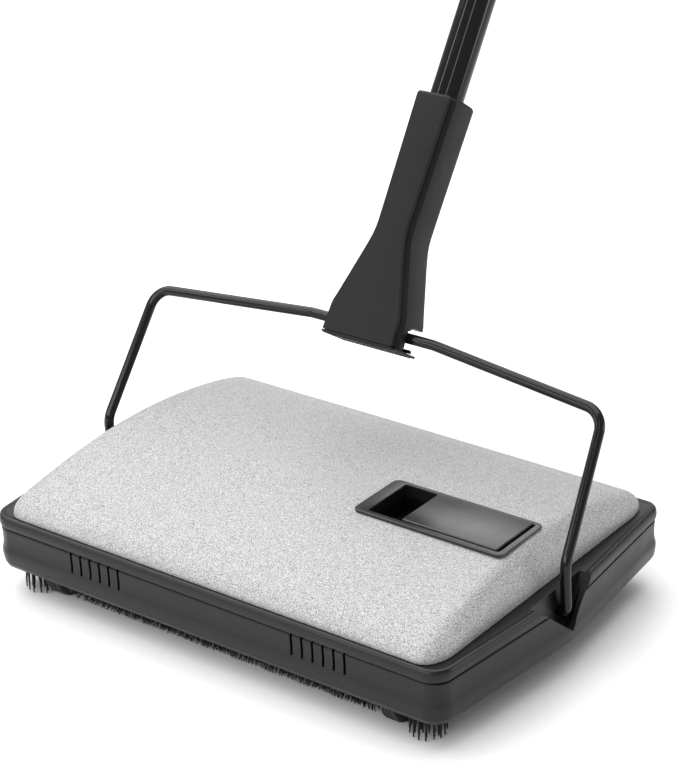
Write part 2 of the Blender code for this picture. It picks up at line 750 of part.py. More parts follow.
def brush_sleeve(name, parent, hand):
    """The bristles, as one sleeve with rows that wind from the middle towards each end."""
    sections, bore = 12, 8 * MM
    rings = []
    for i in range(sections + 1):
        x = -BRUSH_HALF + 2 * BRUSH_HALF * i / sections
        turn = hand * 2 * math.pi * BRUSH_TWIST * abs(x) / BRUSH_HALF
        ring = []
        for k in range(BRUSH_ROWS * 2):
            angle = math.pi * k / BRUSH_ROWS + turn / BRUSH_ROWS * 3
            radius = BRUSH_RADIUS if k % 2 == 0 else BRUSH_RADIUS - 1.3 * MM
            ring.append((x, radius * math.cos(angle), radius * math.sin(angle)))
        rings.append(ring)
    loft(name, rings, parent, "bristle_black")
    sleeve = bpy.data.objects[name]
    cuts = cutter_group(f"{name}_bore")
    reach = BRUSH_HALF + 2 * MM
    ends = (-reach, 0, 0), (reach, 0, 0)
    cylinder_object(f"{name}_core_space", *ends, bore, parent, collection=cuts)
    boolean(sleeve, "DIFFERENCE", cuts)


def roller(end, side, parent):
    """One brush roller with a wheel at each end, all on one shaft."""
    axle = empty(f"{end}_roller_axis", (0, side * ROLLER_Y, WHEEL_RADIUS), parent=parent)
    reach = WHEEL_X + WHEEL_WIDTH / 2 + 0.5 * MM
    ends = (-reach, 0, 0), (reach, 0, 0)
    cylinder_object(f"{end}_roller_shaft", *ends, SHAFT_RADIUS, axle, "steel", sides=16)
    core = 7.7 * MM
    bore = SHAFT_RADIUS + 0.2 * MM
    flange = 10 * MM
    half = SIDE_PLATE_X - SIDE_PLATE_THICKNESS / 2 - 0.6 * MM
    inner = BRUSH_HALF + GAP
    profile = [
        (bore, half),
        (flange, half),
        (flange, inner),
        (core, inner),
        (core, -inner),
        (flange, -inner),
        (flange, -half),
        (bore, -half),
    ]
    turned(f"{end}_brush_core", profile, axle, "grey_nylon", steps=20)
    brush_sleeve(f"{end}_brush_bristles", axle, side)
    hub = 11 * MM
    for hand, x in (("left", -WHEEL_X), ("right", WHEEL_X)):
        tread = ring_profile(WHEEL_RADIUS, hub + 0.2 * MM, WHEEL_WIDTH, 1 * MM)
        turned(f"{end}_{hand}_tyre", tread, axle, "rubber", steps=22, location=(x, 0, 0))
        edge = WHEEL_WIDTH / 2 - 0.3 * MM
        web = 2 * MM
        rim = [
            (bore, edge),
            (3.6 * MM, edge),
            (4 * MM, web),
            (hub - 2 * MM, web),
            (hub - 1.6 * MM, edge),
            (hub, edge),
            (hub, -edge),
            (bore, -edge),
        ]
        if hand == "left":
            rim = [(radius, -at) for radius, at in reversed(rim)]
        turned(f"{end}_{hand}_hub", rim, axle, "grey_nylon", steps=16, location=(x, 0, 0))


def roller_bushes(parent):
    length = SIDE_PLATE_THICKNESS
    for end, side in (("front", -1), ("rear", 1)):
        for hand, x in (("left", -SIDE_PLATE_X), ("right", SIDE_PLATE_X)):
            profile = ring_profile(4 * MM, SHAFT_RADIUS + 0.1 * MM, length)
            at = (x, side * ROLLER_Y, WHEEL_RADIUS)
            turned(f"{end}_{hand}_roller_bush", profile, parent, "steel", steps=16, location=at)


# ---------------------------------------------------------------- dustpans


def dustpan(end, side, parent):
    """A tray whose lip lies near its roller. Its tail stands up through the deck."""
    hinge = empty(f"{end}_pan_axis", (0, side * PAN_HINGE[0], PAN_HINGE[1]), parent=parent)

    def local(points):
        """World Y, taken on the front pan, and Z, to places about the hinge."""
        return [(-side * (y * MM + PAN_HINGE[0]), z * MM - PAN_HINGE[1]) for y, z in points]

    tray = [
        (-74, 1.9),
        (-65, 3.2),
        (-8.2, 3.2),
        (-8.2, 25),
        (-9.8, 25),
        (-9.8, 4.8),
        (-65, 4.8),
        (-74, 2.7),
    ]
    obj = prism(f"{end}_dustpan", local(tray), -PAN_HALF, PAN_HALF, "X", hinge, "matte_black")
    joined = cutter_group(f"{end}_pan_joined")
    wall = local([(-68, 4), (-66, 12), (-63, 22), (-59, 25), (-9, 25), (-9, 4)])
    for hand in (-1, 1):
        ends = sorted((hand * PAN_HALF, hand * (PAN_HALF - PAN_WALL)))
        prism(f"{end}_pan_end_{hand}", wall, *ends, "X", hinge, collection=joined)
    web = local([(-9, 8.4), (-9, 13.6), (-4, 13.6), (-4, 8.4)])
    for first, last in ((-92, -62), (-18, -8), (8, 18), (62, 92)):
        low, high = first * MM, last * MM
        axis = (low, 0, 0), (high, 0, 0)
        cylinder_object(f"{end}_knuckle_{first}", *axis, KNUCKLE_RADIUS, hinge, collection=joined)
        prism(f"{end}_web_{first}", web, low, high, "X", hinge, collection=joined)
    face = TAIL_THICKNESS / 2
    low, high = TAIL_X - 2 * MM, TAIL_X + 2 * MM
    tail = (low, -face, 0), (high, face, TAIL_TOP - PAN_HINGE[1])
    box_object(f"{end}_tail", *tail, hinge, collection=joined)
    prism(f"{end}_tail_web", web, low, high, "X", hinge, collection=joined)
    axis = (low, 0, 0), (high, 0, 0)
    cylinder_object(f"{end}_tail_boss", *axis, KNUCKLE_RADIUS, hinge, collection=joined)
    boolean(obj, "UNION", joined)
    cuts = cutter_group(f"{end}_pan_cuts")
    reach = PAN_HALF + 2 * MM
    axis = (-reach, 0, 0), (reach, 0, 0)
    bore = PAN_PIN_RADIUS + 0.15 * MM
    cylinder_object(f"{end}_pin_bore", *axis, bore, hinge, collection=cuts, sides=16)
    boolean(obj, "DIFFERENCE", cuts)

    pin = SIDE_PLATE_X + SIDE_PLATE_THICKNESS / 2
    at = (side * PAN_HINGE[0], PAN_HINGE[1])
    cylinder_object(f"{end}_pan_pin", (-pin, *at), (pin, *at), PAN_PIN_RADIUS, parent, "steel", sides=12)
    coil = helix((0, *at), 2.25 * MM, 8 * MM, 4)
    wire(f"{end}_pan_spring", coil, 0.35 * MM, parent, "steel", resolution=0)


# ---------------------------------------------------------------- handle


def in_wire_plane(x, height):
    return (x, WIRE_OFFSET, height)


def bail_wire(pivot):
    """One wire, bent to a bail, whose ends turn inwards as the pivot pins."""
    half = [
        (PIN_END, 0, 0),
        (LEG_BEND[0], 0, 0),
        in_wire_plane(*LEG_BEND),
        in_wire_plane(*TOP_CORNER),
        in_wire_plane(*INNER_BEND),
    ]
    radii = [4 * MM, 14 * MM, 12 * MM, 25 * MM]
    corners = half + [(-x, y, z) for x, y, z in reversed(half)]
    path = rounded_path(corners, radii + radii[::-1])
    wire("bail_wire", path, WIRE_RADIUS, pivot, "gloss_black")


def bail_bushes(parent):
    """Flanged bushes in the housing's two inner plates."""
    outer, inner = BUSH_RADII
    middle = (BAIL_PLATE[0] + BAIL_PLATE[1]) / 2
    length = BAIL_PLATE[1] - BAIL_PLATE[0]
    for hand, side in (("left", -1), ("right", 1)):
        flange = (outer + 1.4 * MM, 1.2 * MM)
        end = side * (length / 2 + GAP)
        profile = [
            (inner, side * length / 2),
            (outer, side * length / 2),
            (outer, -end),
            (flange[0], -end),
            (flange[0], -end - side * flange[1]),
            (inner, -end - side * flange[1]),
        ]
        if side < 0:
            profile.reverse()
        at = (side * middle, 0, PIVOT_Z)
        turned(f"bail_bush_{hand}", profile, parent, "grey_nylon", steps=20, location=at)


def socket_section(height, half_width, front, back):
    """A flat front with a small step behind its edges, and a rounded back."""
    middle = (front + back) / 2 + 2 * MM
    side = half_width + 2.4 * MM
    right = [
        (half_width, front),
        (half_width, front + 1.6 * MM),
        (half_width - 0.7 * MM, front + 2.2 * MM),
        (side - 0.6 * MM, front + 5 * MM),
        (side, middle),
        (side - 0.8 * MM, back - 4 * MM),
        (side - 3 * MM, back - 1.4 * MM),
        (side - 6.5 * MM, back),
    ]
    return [(x, y, height) for x, y in right + [(-x, y) for x, y in reversed(right)]]


def socket_shell(pivot):
    front, back = -28.6 * MM, -1.8 * MM
    stations = [  # height, half width of the flat front
        (103.2, 22.7),
        (119, 21.9),
        (123, 20.5),
        (155, 10.9),
        (160, 9.9),
        (166, 9.4),
        (200, 9.9),
        (238, 10.5),
        (239.5, 9.9),
    ]
    rings = [socket_section(z * MM, half * MM, front, back) for z, half in stations]
    obj = loft("socket_shell", rings, pivot, "matte_black")
    cuts = cutter_group("socket_cuts")
    bore = (0, TUBE_OFFSET, TUBE_START - GAP), (0, TUBE_OFFSET, 245 * MM)
    cylinder_object("tube_bore", *bore, TUBE_RADIUS + GAP, pivot, collection=cuts, sides=24)
    # The wire passes through an opening low in the shell, open to its rear.
    mouth = [(-18.6, 106), (-12, 105.4), (-10, 100), (0, 100), (0, 116.6), (-17.4, 116.6)]
    for side in (-1, 1):
        ends = sorted((side * 12 * MM, side * 30 * MM))
        opening = [(y * MM, z * MM) for y, z in mouth]
        prism(f"wire_mouth_{side}", opening, *ends, "X", pivot, collection=cuts)
    low = (-26 * MM, WIRE_OFFSET - 3.4 * MM, 100 * MM)
    high = (26 * MM, WIRE_OFFSET + 3.4 * MM, 114.2 * MM)
    box_object("wire_channel", low, high, pivot, collection=cuts)
    boolean(obj, "DIFFERENCE", cuts)


def socket_base(pivot):
    """The plate that closes the socket under the wire, ribbed below, with a saddle that fills the slot."""
    top = 102.9 * MM
    plan = [(-22, -28), (22, -28), (24, -24), (24, -6), (22, -3.8), (-22, -3.8), (-24, -6), (-24, -24)]
    plan = [(x * MM, y * MM) for x, y in plan]
    obj = prism("socket_base", plan, top - 1.2 * MM, top, "Z", pivot, "matte_black")
    joined = cutter_group("base_joined")
    for i in range(12):
        x = (-20.5 + 3.6 * i) * MM
        rib = (x, -27 * MM, top - 1.6 * MM), (x + 1.4 * MM, -5.5 * MM, top - 1 * MM)
        box_object(f"base_rib_{i}", *rib, pivot, collection=joined)
    low = (-18 * MM, WIRE_OFFSET - 3 * MM, top - 1 * MM)
    high = (18 * MM, WIRE_OFFSET + 3 * MM, 107.4 * MM)
    box_object("saddle", low, high, pivot, collection=joined)
    boolean(obj, "UNION", joined)


def tube(name, start, end, pivot, look="gloss_black"):
    profile = ring_profile(TUBE_RADIUS, TUBE_RADIUS - TUBE_WALL, end - start)
    at = (0, TUBE_OFFSET, (start + end) / 2)
    turned(name, profile, pivot, look, steps=24, location=at, along="Z")


def handle(pivot):
    starts = (TUBE_START, TUBE_ENDS[0] + 1 * MM, TUBE_ENDS[1] + 1 * MM)
    for name, start, end in zip(("tube_lower", "tube_middle", "tube_upper"), starts, TUBE_ENDS):
        tube(name, start, end, pivot)
    for name, height in (("lower_ferrule", TUBE_ENDS[0]), ("upper_ferrule", TUBE_ENDS[1])):
        # A ring outside the joint, with a narrow collar that the tubes' ends meet.
        outer = TUBE_RADIUS + 1.5 * MM
        profile = [
            (TUBE_RADIUS + 0.2 * MM, 11 * MM),
            (outer - 0.6 * MM, 11 * MM),
            (outer, 10.4 * MM),
            (outer, -10.4 * MM),
            (outer - 0.6 * MM, -11 * MM),
            (TUBE_RADIUS + 0.2 * MM, -11 * MM),
        ]
        at = (0, TUBE_OFFSET, height + 0.5 * MM)
        turned(name, profile, pivot, "matte_black", steps=24, location=at, along="Z")
    grip(pivot)
    end_cap(pivot)


def grip(pivot):
    """A moulded sleeve with shallow finger rings."""
    low, high = GRIP
    inner = TUBE_RADIUS + 0.25 * MM
    outer = 13 * MM
    rings = 5
    side = []
    for i in range(rings * 2 + 1):
        height = high - 6 * MM - (high - low - 12 * MM) * i / (rings * 2)
        side.append((outer - (0.9 * MM if i % 2 else 0), height))
    cap = 2.4 * MM
    bore_top = TUBE_ENDS[2] + 0.6 * MM
    profile = (
        [(0, high), (outer - cap, high), (outer, high - cap)]
        + side
        + [(outer, low + cap), (outer - 1 * MM, low), (inner, low), (inner, bore_top), (0, bore_top)]
    )
    at = (0, TUBE_OFFSET, 0)
    turned("grip", profile, pivot, "rubber", steps=20, location=at, along="Z")


def end_cap(pivot):
    """A tab on the grip's end, with a hole across it to hang the sweeper by."""
    low = GRIP[1] + GAP
    radius = 11.5 * MM
    middle = HANDLE_END - radius
    arc = corner_arc((TUBE_OFFSET, middle), radius, math.pi, 0, 14)
    outline = [(TUBE_OFFSET - radius, low)] + arc + [(TUBE_OFFSET + radius, low)]
    obj = prism("end_cap", outline, -5 * MM, 5 * MM, "X", pivot, "matte_black")
    cuts = cutter_group("cap_cuts")
    hole = (-8 * MM, TUBE_OFFSET, middle), (8 * MM, TUBE_OFFSET, middle)
    cylinder_object("hanging_hole", *hole, HANGING_HOLE_RADIUS, pivot, collection=cuts, sides=24)
    boolean(obj, "DIFFERENCE", cuts)


# ---------------------------------------------------------------- assembly


def main():
    body = empty("body_origin", (0, BODY_Y, 0))
    lower_housing(body)
    top_cover(body)
    slider_bezel(body)
    finger_well(body)
    slider_plate(body)
    spreader_cam(body)
    chassis(body)
    cover_screws(body)
    for hand, side in (("left", -1), ("right", 1)):
        corner_brush(f"corner_brush_{hand}", side * TUFT_PLACE[0], -TUFT_PLACE[1], body)
    for end, side in (("front", -1), ("rear", 1)):
        roller(end, side, body)
        dustpan(end, side, body)
    roller_bushes(body)
    bail_bushes(body)
    spring_at = ((STEM_X + 8 * MM + 112 * MM) / 2, OPENING_CENTRE[1], 39.4 * MM)
    coil = helix(spring_at, 2.4 * MM, 15 * MM, 6)
    wire("slider_spring", coil, 0.35 * MM, body, "steel", resolution=0)

    pivot = empty("handle_pivot", (0, 0, PIVOT_Z), (-HANDLE_TILT, 0, 0), body)
    bail_wire(pivot)
    socket_shell(pivot)
    socket_base(pivot)
    handle(pivot)


main()
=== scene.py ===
"""Looks of the carpet sweeper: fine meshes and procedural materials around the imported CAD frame.

Lengths are in millimetres times MM. Body places are measured from the middle of the housing on the floor,
handle places from the bail's pivot, with the handle upright.
"""

import json
import math
import random

import bmesh
import bpy
from mathutils import Matrix, Vector


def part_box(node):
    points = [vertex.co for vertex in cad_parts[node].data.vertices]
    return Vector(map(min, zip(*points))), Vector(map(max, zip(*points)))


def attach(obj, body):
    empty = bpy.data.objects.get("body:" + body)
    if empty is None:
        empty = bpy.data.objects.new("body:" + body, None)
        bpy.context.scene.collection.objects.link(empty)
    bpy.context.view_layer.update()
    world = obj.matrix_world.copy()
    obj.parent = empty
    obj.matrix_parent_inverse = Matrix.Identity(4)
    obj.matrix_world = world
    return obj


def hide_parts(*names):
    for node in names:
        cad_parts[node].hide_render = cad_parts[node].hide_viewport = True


MM = 0.001
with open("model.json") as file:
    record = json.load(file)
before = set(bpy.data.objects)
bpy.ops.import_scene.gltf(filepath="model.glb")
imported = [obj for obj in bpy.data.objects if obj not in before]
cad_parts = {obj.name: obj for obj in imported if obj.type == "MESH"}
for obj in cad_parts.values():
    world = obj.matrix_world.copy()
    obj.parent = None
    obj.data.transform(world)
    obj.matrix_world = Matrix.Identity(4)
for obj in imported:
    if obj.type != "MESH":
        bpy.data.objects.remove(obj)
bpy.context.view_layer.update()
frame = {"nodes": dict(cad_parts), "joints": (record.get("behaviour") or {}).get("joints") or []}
JOINTS = {joint["name"]: joint for joint in frame["joints"]}

HOUSING_LOW, HOUSING_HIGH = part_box("lower_housing")
BODY_Y = (HOUSING_LOW.y + HOUSING_HIGH.y) / 2
BODY = Matrix.Translation((0, BODY_Y, 0))
HANDLE_TILT = math.radians(33.4)
PIVOT = Vector(JOINTS["handle_tilt"]["pos_m"])
HANDLE = Matrix.Translation(PIVOT) @ Matrix.Rotation(-HANDLE_TILT, 4, "X")

# Housing plan
FRONT_HALF = 146.25 * MM
DEPTH_HALF = (HOUSING_HIGH.y - HOUSING_LOW.y) / 2
SIDE_BULGE = 10.3 * MM
FRONT_RADIUS = 12 * MM
REAR_RADIUS = 9 * MM
LEDGE_TOP = 45.4 * MM
BAIL_PLATE = (144.5 * MM, 147.1 * MM)
BAIL_BLOCK = (150.5 * MM, 34 * MM)
NOTCH = [(0, 22.5 * MM), (-32 * MM, 50 * MM), (24 * MM, 50 * MM)]
NOTCH_SKIN = 0.2 * MM  # left standing over the bail plate
FLANGE_LOW = 42.6 * MM
FLANGE_HOLE = (131 * MM, 83 * MM)
BAIL_HOLE_RADIUS = 4.15 * MM
VENT_COUNT = 6
VENT_FIRST = 57  # mm
VENT_PITCH = 6.56  # mm
VENT_MIDDLE = 33.05 * MM
VENT_HALF = (0.75 * MM, 6.15 * MM)

# Cover
COVER_HALF = (141 * MM, 99.4 * MM)
COVER_BASE = 45.7 * MM
COVER_TOP = 69 * MM
COVER_CROWN = 9.8 * MM
COVER_FILLET = (13 * MM, 20 * MM)
COVER_WALL = 2.2 * MM
COVER_SQUARENESS = 2.4

# Slider
BEZEL_CENTRE = (84.8 * MM, -6.6 * MM)
BEZEL_HALF = (45.9 * MM, 19.7 * MM)
BEZEL_TOP = 69.7 * MM
OPENING_CENTRE = (86.95 * MM, -6.25 * MM)
OPENING_HALF = (40 * MM, 16.9 * MM)
SKIRT_LOW = 62.7 * MM
PLATE_LENGTH = 57.7 * MM
PLATE_TOP = 70.5 * MM
PLATE_THICKNESS = 2.6 * MM
PLATE_END_GAP = 1.4 * MM
PLATE_SIDE_GAP = 0.3 * MM

# Rollers and brushes
WHEEL_X = 110.8 * MM
WHEEL_HALF = 4.5 * MM
WHEEL_RADIUS = 15 * MM
BRISTLE_ROOT = 8.2 * MM
BRISTLE_TIP = 14.4 * MM
BRISTLE_REACH = 14.9 * MM
BRISTLE_END = 99 * MM
CORE_END = 99.2  # mm
SPOKES = 5
BLOCK_LOW = 13.6 * MM

# Handle
WIRE_OFFSET = -16.5 * MM
WIRE_RADIUS = 2.85 * MM
TUBE_OFFSET = -15.4 * MM
TUBE_RADIUS = 9.45 * MM
TUBE_JOINTS = (410 * MM, 700 * MM)
TUBE_SPAN = (118 * MM, 1008 * MM)
SOCKET_FRONT = -28.6 * MM
SOCKET_BACK = -1.8 * MM
SOCKET_EDGE = 237.4 * MM  # where the top edge starts to round
SOCKET_BASE_TOP = 102.9 * MM
BASE_RIBS = 17
GRIP = (896 * MM, 1016 * MM)
GRIP_RIBS = 26
GRIP_PITCH = 3.9 * MM
HANDLE_END = 1040 * MM

# Camera, in metres
CAMERA_LENS = 112.76
CAMERA_RIGHT = Vector((0.7977, 0.6022, -0.0338))
CAMERA_DOWN = Vector((0.2323, -0.3584, -0.9043))
CAMERA_FORWARD = Vector((-0.5566, 0.7134, -0.4258))
CAMERA_PLACE = (0.7078, BODY_Y - 0.8901, 0.6533)


# ---------------------------------------------------------------- node materials


class Look:
    """A Principled material and the few nodes that its patterns are made of."""

    def __init__(self, name, colour, roughness, tilt=0.0, **fixed):
        self.material = bpy.data.materials.new(name)
        self.material.use_nodes = True
        self.tree = self.material.node_tree
        self.shader = self.tree.nodes["Principled BSDF"]
        self.set("Base Color", (*colour, 1))
        self.set("Roughness", roughness)
        for socket, value in fixed.items():
            self.set(socket.replace("_", " "), value)
        self.place = self.tree.nodes.new("ShaderNodeTexCoord").outputs["Object"]
        if tilt:
            upright = self.tree.nodes.new("ShaderNodeMapping")
            upright.inputs["Rotation"].default_value = (tilt, 0, 0)
            self.link(self.place, upright.inputs["Vector"])
            self.place = upright.outputs["Vector"]
        self.material.diffuse_color = (*colour, 1)

    def set(self, socket, value):
        self.shader.inputs[socket].default_value = value

    def link(self, value, socket):
        self.tree.links.new(value, socket)

    def stretched(self, scale):
        node = self.tree.nodes.new("ShaderNodeMapping")
        node.inputs["Scale"].default_value = scale
        self.link(self.place, node.inputs["Vector"])
        return node.outputs["Vector"]

    def noise(self, scale, detail=2.0, vector=None, roughness=0.5):
        node = self.tree.nodes.new("ShaderNodeTexNoise")
        node.inputs["Scale"].default_value = scale
        node.inputs["Detail"].default_value = detail
        node.inputs["Roughness"].default_value = roughness
        self.link(vector or self.place, node.inputs["Vector"])
        return node.outputs["Fac"]

    def cells(self, scale):
        """A random colour for each cell."""
        node = self.tree.nodes.new("ShaderNodeTexVoronoi")
        node.feature = "F1"
        node.inputs["Scale"].default_value = scale
        self.link(self.place, node.inputs["Vector"])
        return node.outputs["Color"]

    def ramp(self, value, low, high, from_min=0.0, from_max=1.0):
        node = self.tree.nodes.new("ShaderNodeMapRange")
        for name, number in (
            ("From Min", from_min),
            ("From Max", from_max),
            ("To Min", low),
            ("To Max", high),
        ):
            node.inputs[name].default_value = number
        self.link(value, node.inputs["Value"])
        return node.outputs["Result"]

    def mix(self, factor, first, second):
        node = self.tree.nodes.new("ShaderNodeMix")
        node.data_type = "RGBA"
        self.link(factor, node.inputs["Factor"])
        for socket, value in (("A", first), ("B", second)):
            target = [s for s in node.inputs if s.name == socket and s.type == "RGBA"][0]
            if isinstance(value, tuple):
                target.default_value = (*value, 1)
            else:
                self.link(value, target)
        return [s for s in node.outputs if s.type == "RGBA"][0]

    def combine(self, operation, first, second):
        node = self.tree.nodes.new("ShaderNodeMath")
        node.operation = operation
        for socket, value in zip(node.inputs, (first, second)):
            if isinstance(value, (int, float)):
                socket.default_value = value
            else:
                self.link(value, socket)
        return node.outputs["Value"]

    def bump(self, *layers):
        """Layers are (height, depth in metres)."""
        normal = None
        for height, depth in layers:
            node = self.tree.nodes.new("ShaderNodeBump")
            node.inputs["Strength"].default_value = 1.0
            node.inputs["Distance"].default_value = depth
            self.link(height, node.inputs["Height"])
            if normal is not None:
                self.link(normal, node.inputs["Normal"])
            normal = node.outputs["Normal"]
        self.link(normal, self.shader.inputs["Normal"])


def tint(colour, factor):
    return tuple(min(1.0, part * factor) for part in colour)


def moulded(name, colour, roughness, grain=900.0, depth=0.02 * MM, wear=0.15, specular=0.3):
    """Textured plastic: fine spark grain, slow blotches in gloss, and faint rub marks."""
    look = Look(name, colour, roughness, Specular_IOR_Level=specular)
    grain_noise = look.noise(grain, 3.0, roughness=0.6)
    slow = look.noise(28.0, 3.0)
    rubs = look.noise(1.0, 4.0, look.stretched((35, 160, 60)), 0.7)
    shade = look.mix(look.ramp(slow, 0.0, 1.0, 0.35, 0.65), tint(colour, 0.88), tint(colour, 1.12))
    worn = look.ramp(rubs, 0.0, wear, 0.55, 0.8)
    look.link(look.mix(worn, shade, tint(colour, 2.6)), look.shader.inputs["Base Color"])
    gloss = look.ramp(slow, roughness - 0.05, roughness + 0.06, 0.3, 0.7)
    look.link(look.combine("SUBTRACT", gloss, worn), look.shader.inputs["Roughness"])
    look.bump((grain_noise, depth), (look.noise(grain * 0.35, 2.0), depth * 1.2))
    return look.material


def silver_paint(name):
    """Pale silver paint with metal flecks, on a sanded-looking grain."""
    base = (0.35, 0.35, 0.347)
    look = Look(name, base, 0.58, Metallic=0.12, Specular_IOR_Level=0.25)
    speckle = look.noise(1800.0, 2.0, roughness=0.75)
    fleck = look.cells(2400.0)
    to_value = look.tree.nodes.new("ShaderNodeSeparateColor")
    look.link(fleck, to_value.inputs["Color"])
    fleck_value = to_value.outputs["Red"]
    both = look.combine("ADD", look.ramp(speckle, 0.0, 0.65, 0.36, 0.64), look.ramp(fleck_value, 0.0, 0.35))
    colour = look.mix(both, tint(base, 0.2), tint(base, 1.8))
    slow = look.noise(14.0, 2.0)
    toned = look.mix(look.ramp(slow, 0.0, 0.06, 0.3, 0.7), colour, tint(base, 0.85))
    look.link(toned, look.shader.inputs["Base Color"])
    look.link(look.ramp(fleck_value, 0.36, 0.56), look.shader.inputs["Roughness"])
    look.bump((speckle, 0.035 * MM), (look.noise(420.0, 2.0), 0.03 * MM))
    return look.material


def enamel(name, colour):
    """Gloss enamel on metal, with a faint orange peel and fine rubs."""
    look = Look(name, colour, 0.16, HANDLE_TILT, Specular_IOR_Level=0.3)
    peel = look.noise(260.0, 2.0)
    rubs = look.noise(1.0, 5.0, look.stretched((320, 320, 24)), 0.7)
    marks = look.ramp(rubs, 0.0, 0.25, 0.58, 0.8)
    look.link(look.mix(marks, colour, tint(colour, 3.5)), look.shader.inputs["Base Color"])
    look.link(look.combine("ADD", look.ramp(peel, 0.08, 0.15), marks), look.shader.inputs["Roughness"])
    look.bump((peel, 0.012 * MM))
    return look.material


def bristle_look(name, body, tip):
    """Nylon bristles: near black, with a painted highlight that makes them paler at the tips, each with its
    own share of it.
    """
    look = Look(name, body, 0.5, Specular_IOR_Level=0.25)
    along = look.tree.nodes.new("ShaderNodeAttribute")
    along.attribute_name = "along"
    own = look.tree.nodes.new("ShaderNodeAttribute")
    own.attribute_name = "own"
    # Painted highlight: each bristle is paler towards its tip, by its own share.
    pale = look.ramp(along.outputs["Fac"], 0.0, 1.0, 0.45, 1.0)
    tip_highlight = look.combine("MULTIPLY", pale, own.outputs["Fac"])
    streak = look.noise(700.0, 2.0)
    mixed = look.mix(tip_highlight, body, tip)
    shade = look.mix(look.ramp(streak, 0.0, 0.35, 0.4, 0.8), mixed, tint(body, 0.5))
    look.link(shade, look.shader.inputs["Base Color"])
    look.bump((streak, 0.01 * MM))
    return look.material


def rubber_look(name, colour):
    """Matt rubber with a little dust in patches."""
    look = Look(name, colour, 0.72, Specular_IOR_Level=0.35)
    dust = look.noise(60.0, 4.0, roughness=0.65)
    grain = look.noise(1300.0, 2.0)
    dusty = look.ramp(dust, 0.0, 0.3, 0.45, 0.75)
    look.link(look.mix(dusty, colour, (0.09, 0.088, 0.085)), look.shader.inputs["Base Color"])
    look.link(look.ramp(dust, 0.62, 0.85, 0.3, 0.7), look.shader.inputs["Roughness"])
    look.bump((grain, 0.03 * MM), (dust, 0.05 * MM))
    return look.material


def metal_look(name, colour, direction):
    """Drawn or turned steel, with lines across direction, in metres."""
    look = Look(name, colour, 0.3, Metallic=1.0)
    lines = look.noise(1.0, 4.0, look.stretched(direction), 0.7)
    slow = look.noise(90.0, 2.0)
    shade = look.mix(look.ramp(lines, 0, 1, 0.3, 0.7), tint(colour, 0.8), tint(colour, 1.15))
    look.link(shade, look.shader.inputs["Base Color"])
    look.link(look.ramp(slow, 0.22, 0.42, 0.3, 0.7), look.shader.inputs["Roughness"])
    look.bump((lines, 0.01 * MM))
    return look.material


HOUSING_BLACK = moulded("housing_black", (0.006, 0.006, 0.0063), 0.36)
SILVER = silver_paint("cover_silver")
SLIDER_GREY = moulded(
    "slider_grey", (0.014, 0.014, 0.0146), 0.24, grain=1300.0, depth=0.004 * MM, wear=0.08, specular=0.6
)
BEZEL_GREY = moulded(
    "bezel_grey", (0.009, 0.009, 0.0094), 0.26, grain=1300.0, depth=0.005 * MM, wear=0.08, specular=0.55
)
WELL_BLACK = moulded("well_black", (0.004, 0.004, 0.0042), 0.4, grain=600.0, specular=0.2)
SOCKET_BLACK = moulded(
    "socket_black", (0.006, 0.006, 0.0063), 0.46, grain=1000.0, depth=0.015 * MM, specular=0.2
)
PAN_BLACK = moulded("pan_black", (0.03, 0.03, 0.032), 0.45, grain=500.0)
NYLON = moulded("grey_nylon", (0.24, 0.24, 0.245), 0.42, grain=700.0, wear=0.1)
WIRE_BLACK = enamel("wire_black", (0.004, 0.004, 0.0042))
TUBE_BLACK = enamel("tube_black", (0.004, 0.004, 0.0042))
# The tip colours are painted highlights on the bristle ends.
BRISTLES = bristle_look("bristle_black", (0.005, 0.005, 0.0053), (0.16, 0.16, 0.16))
TUFTS = bristle_look("tuft_black", (0.004, 0.004, 0.0042), (0.02, 0.02, 0.02))
TYRE = rubber_look("wheel_rubber", (0.022, 0.022, 0.0225))
GRIP_RUBBER = rubber_look("grip_rubber", (0.026, 0.026, 0.0265))
STEEL = metal_look("steel", (0.58, 0.58, 0.59), (60, 900, 900))


# ---------------------------------------------------------------- making meshes


def object_of(name, bm, look, matrix, angle=35):
    """An object from bm, placed by matrix, with edges sharper than angle kept sharp."""
    bmesh.ops.recalc_face_normals(bm, faces=bm.faces)
    mesh = bpy.data.meshes.new(name)
    bm.to_mesh(mesh)
    bm.free()
    mesh.shade_smooth()
    mesh.set_sharp_from_angle(angle=math.radians(angle))
    mesh.transform(matrix)
    obj = bpy.data.objects.new(name, mesh)
    bpy.context.scene.collection.objects.link(obj)
    if look:
        mesh.materials.append(look)
    return obj


def piece(obj, body, node):
    """Hand obj to the frame: it rides body and stands in for node."""
    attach(obj, body)
    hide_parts(node)


def apply_modifiers(obj, angle):
    graph = bpy.context.evaluated_depsgraph_get()
    mesh = bpy.data.meshes.new_from_object(obj.evaluated_get(graph))
    obj.modifiers.clear()
    obj.data = mesh
    mesh.shade_smooth()
    mesh.set_sharp_from_angle(angle=math.radians(angle))


def cut(obj, maker, matrix, operation="DIFFERENCE", angle=35):
    """A Boolean with the solids that maker adds to a mesh, placed by matrix and applied."""
    bm = bmesh.new()
    maker(bm)
    cutter = object_of("cutter", bm, None, matrix)
    modifier = obj.modifiers.new("cut", "BOOLEAN")
    modifier.operation = operation
    modifier.object = cutter
    modifier.solver = "EXACT"
    bpy.context.view_layer.update()
    apply_modifiers(obj, angle)
    bpy.data.objects.remove(cutter)


def bevel(obj, width, segments, angle):
    """Round every edge sharper than angle, applied."""
    modifier = obj.modifiers.new("edges", "BEVEL")
    modifier.width = width
    modifier.segments = segments
    modifier.limit_method = "ANGLE"
    modifier.angle_limit = math.radians(angle)
    modifier.use_clamp_overlap = True
    modifier.harden_normals = False
    bpy.context.view_layer.update()
    apply_modifiers(obj, angle)


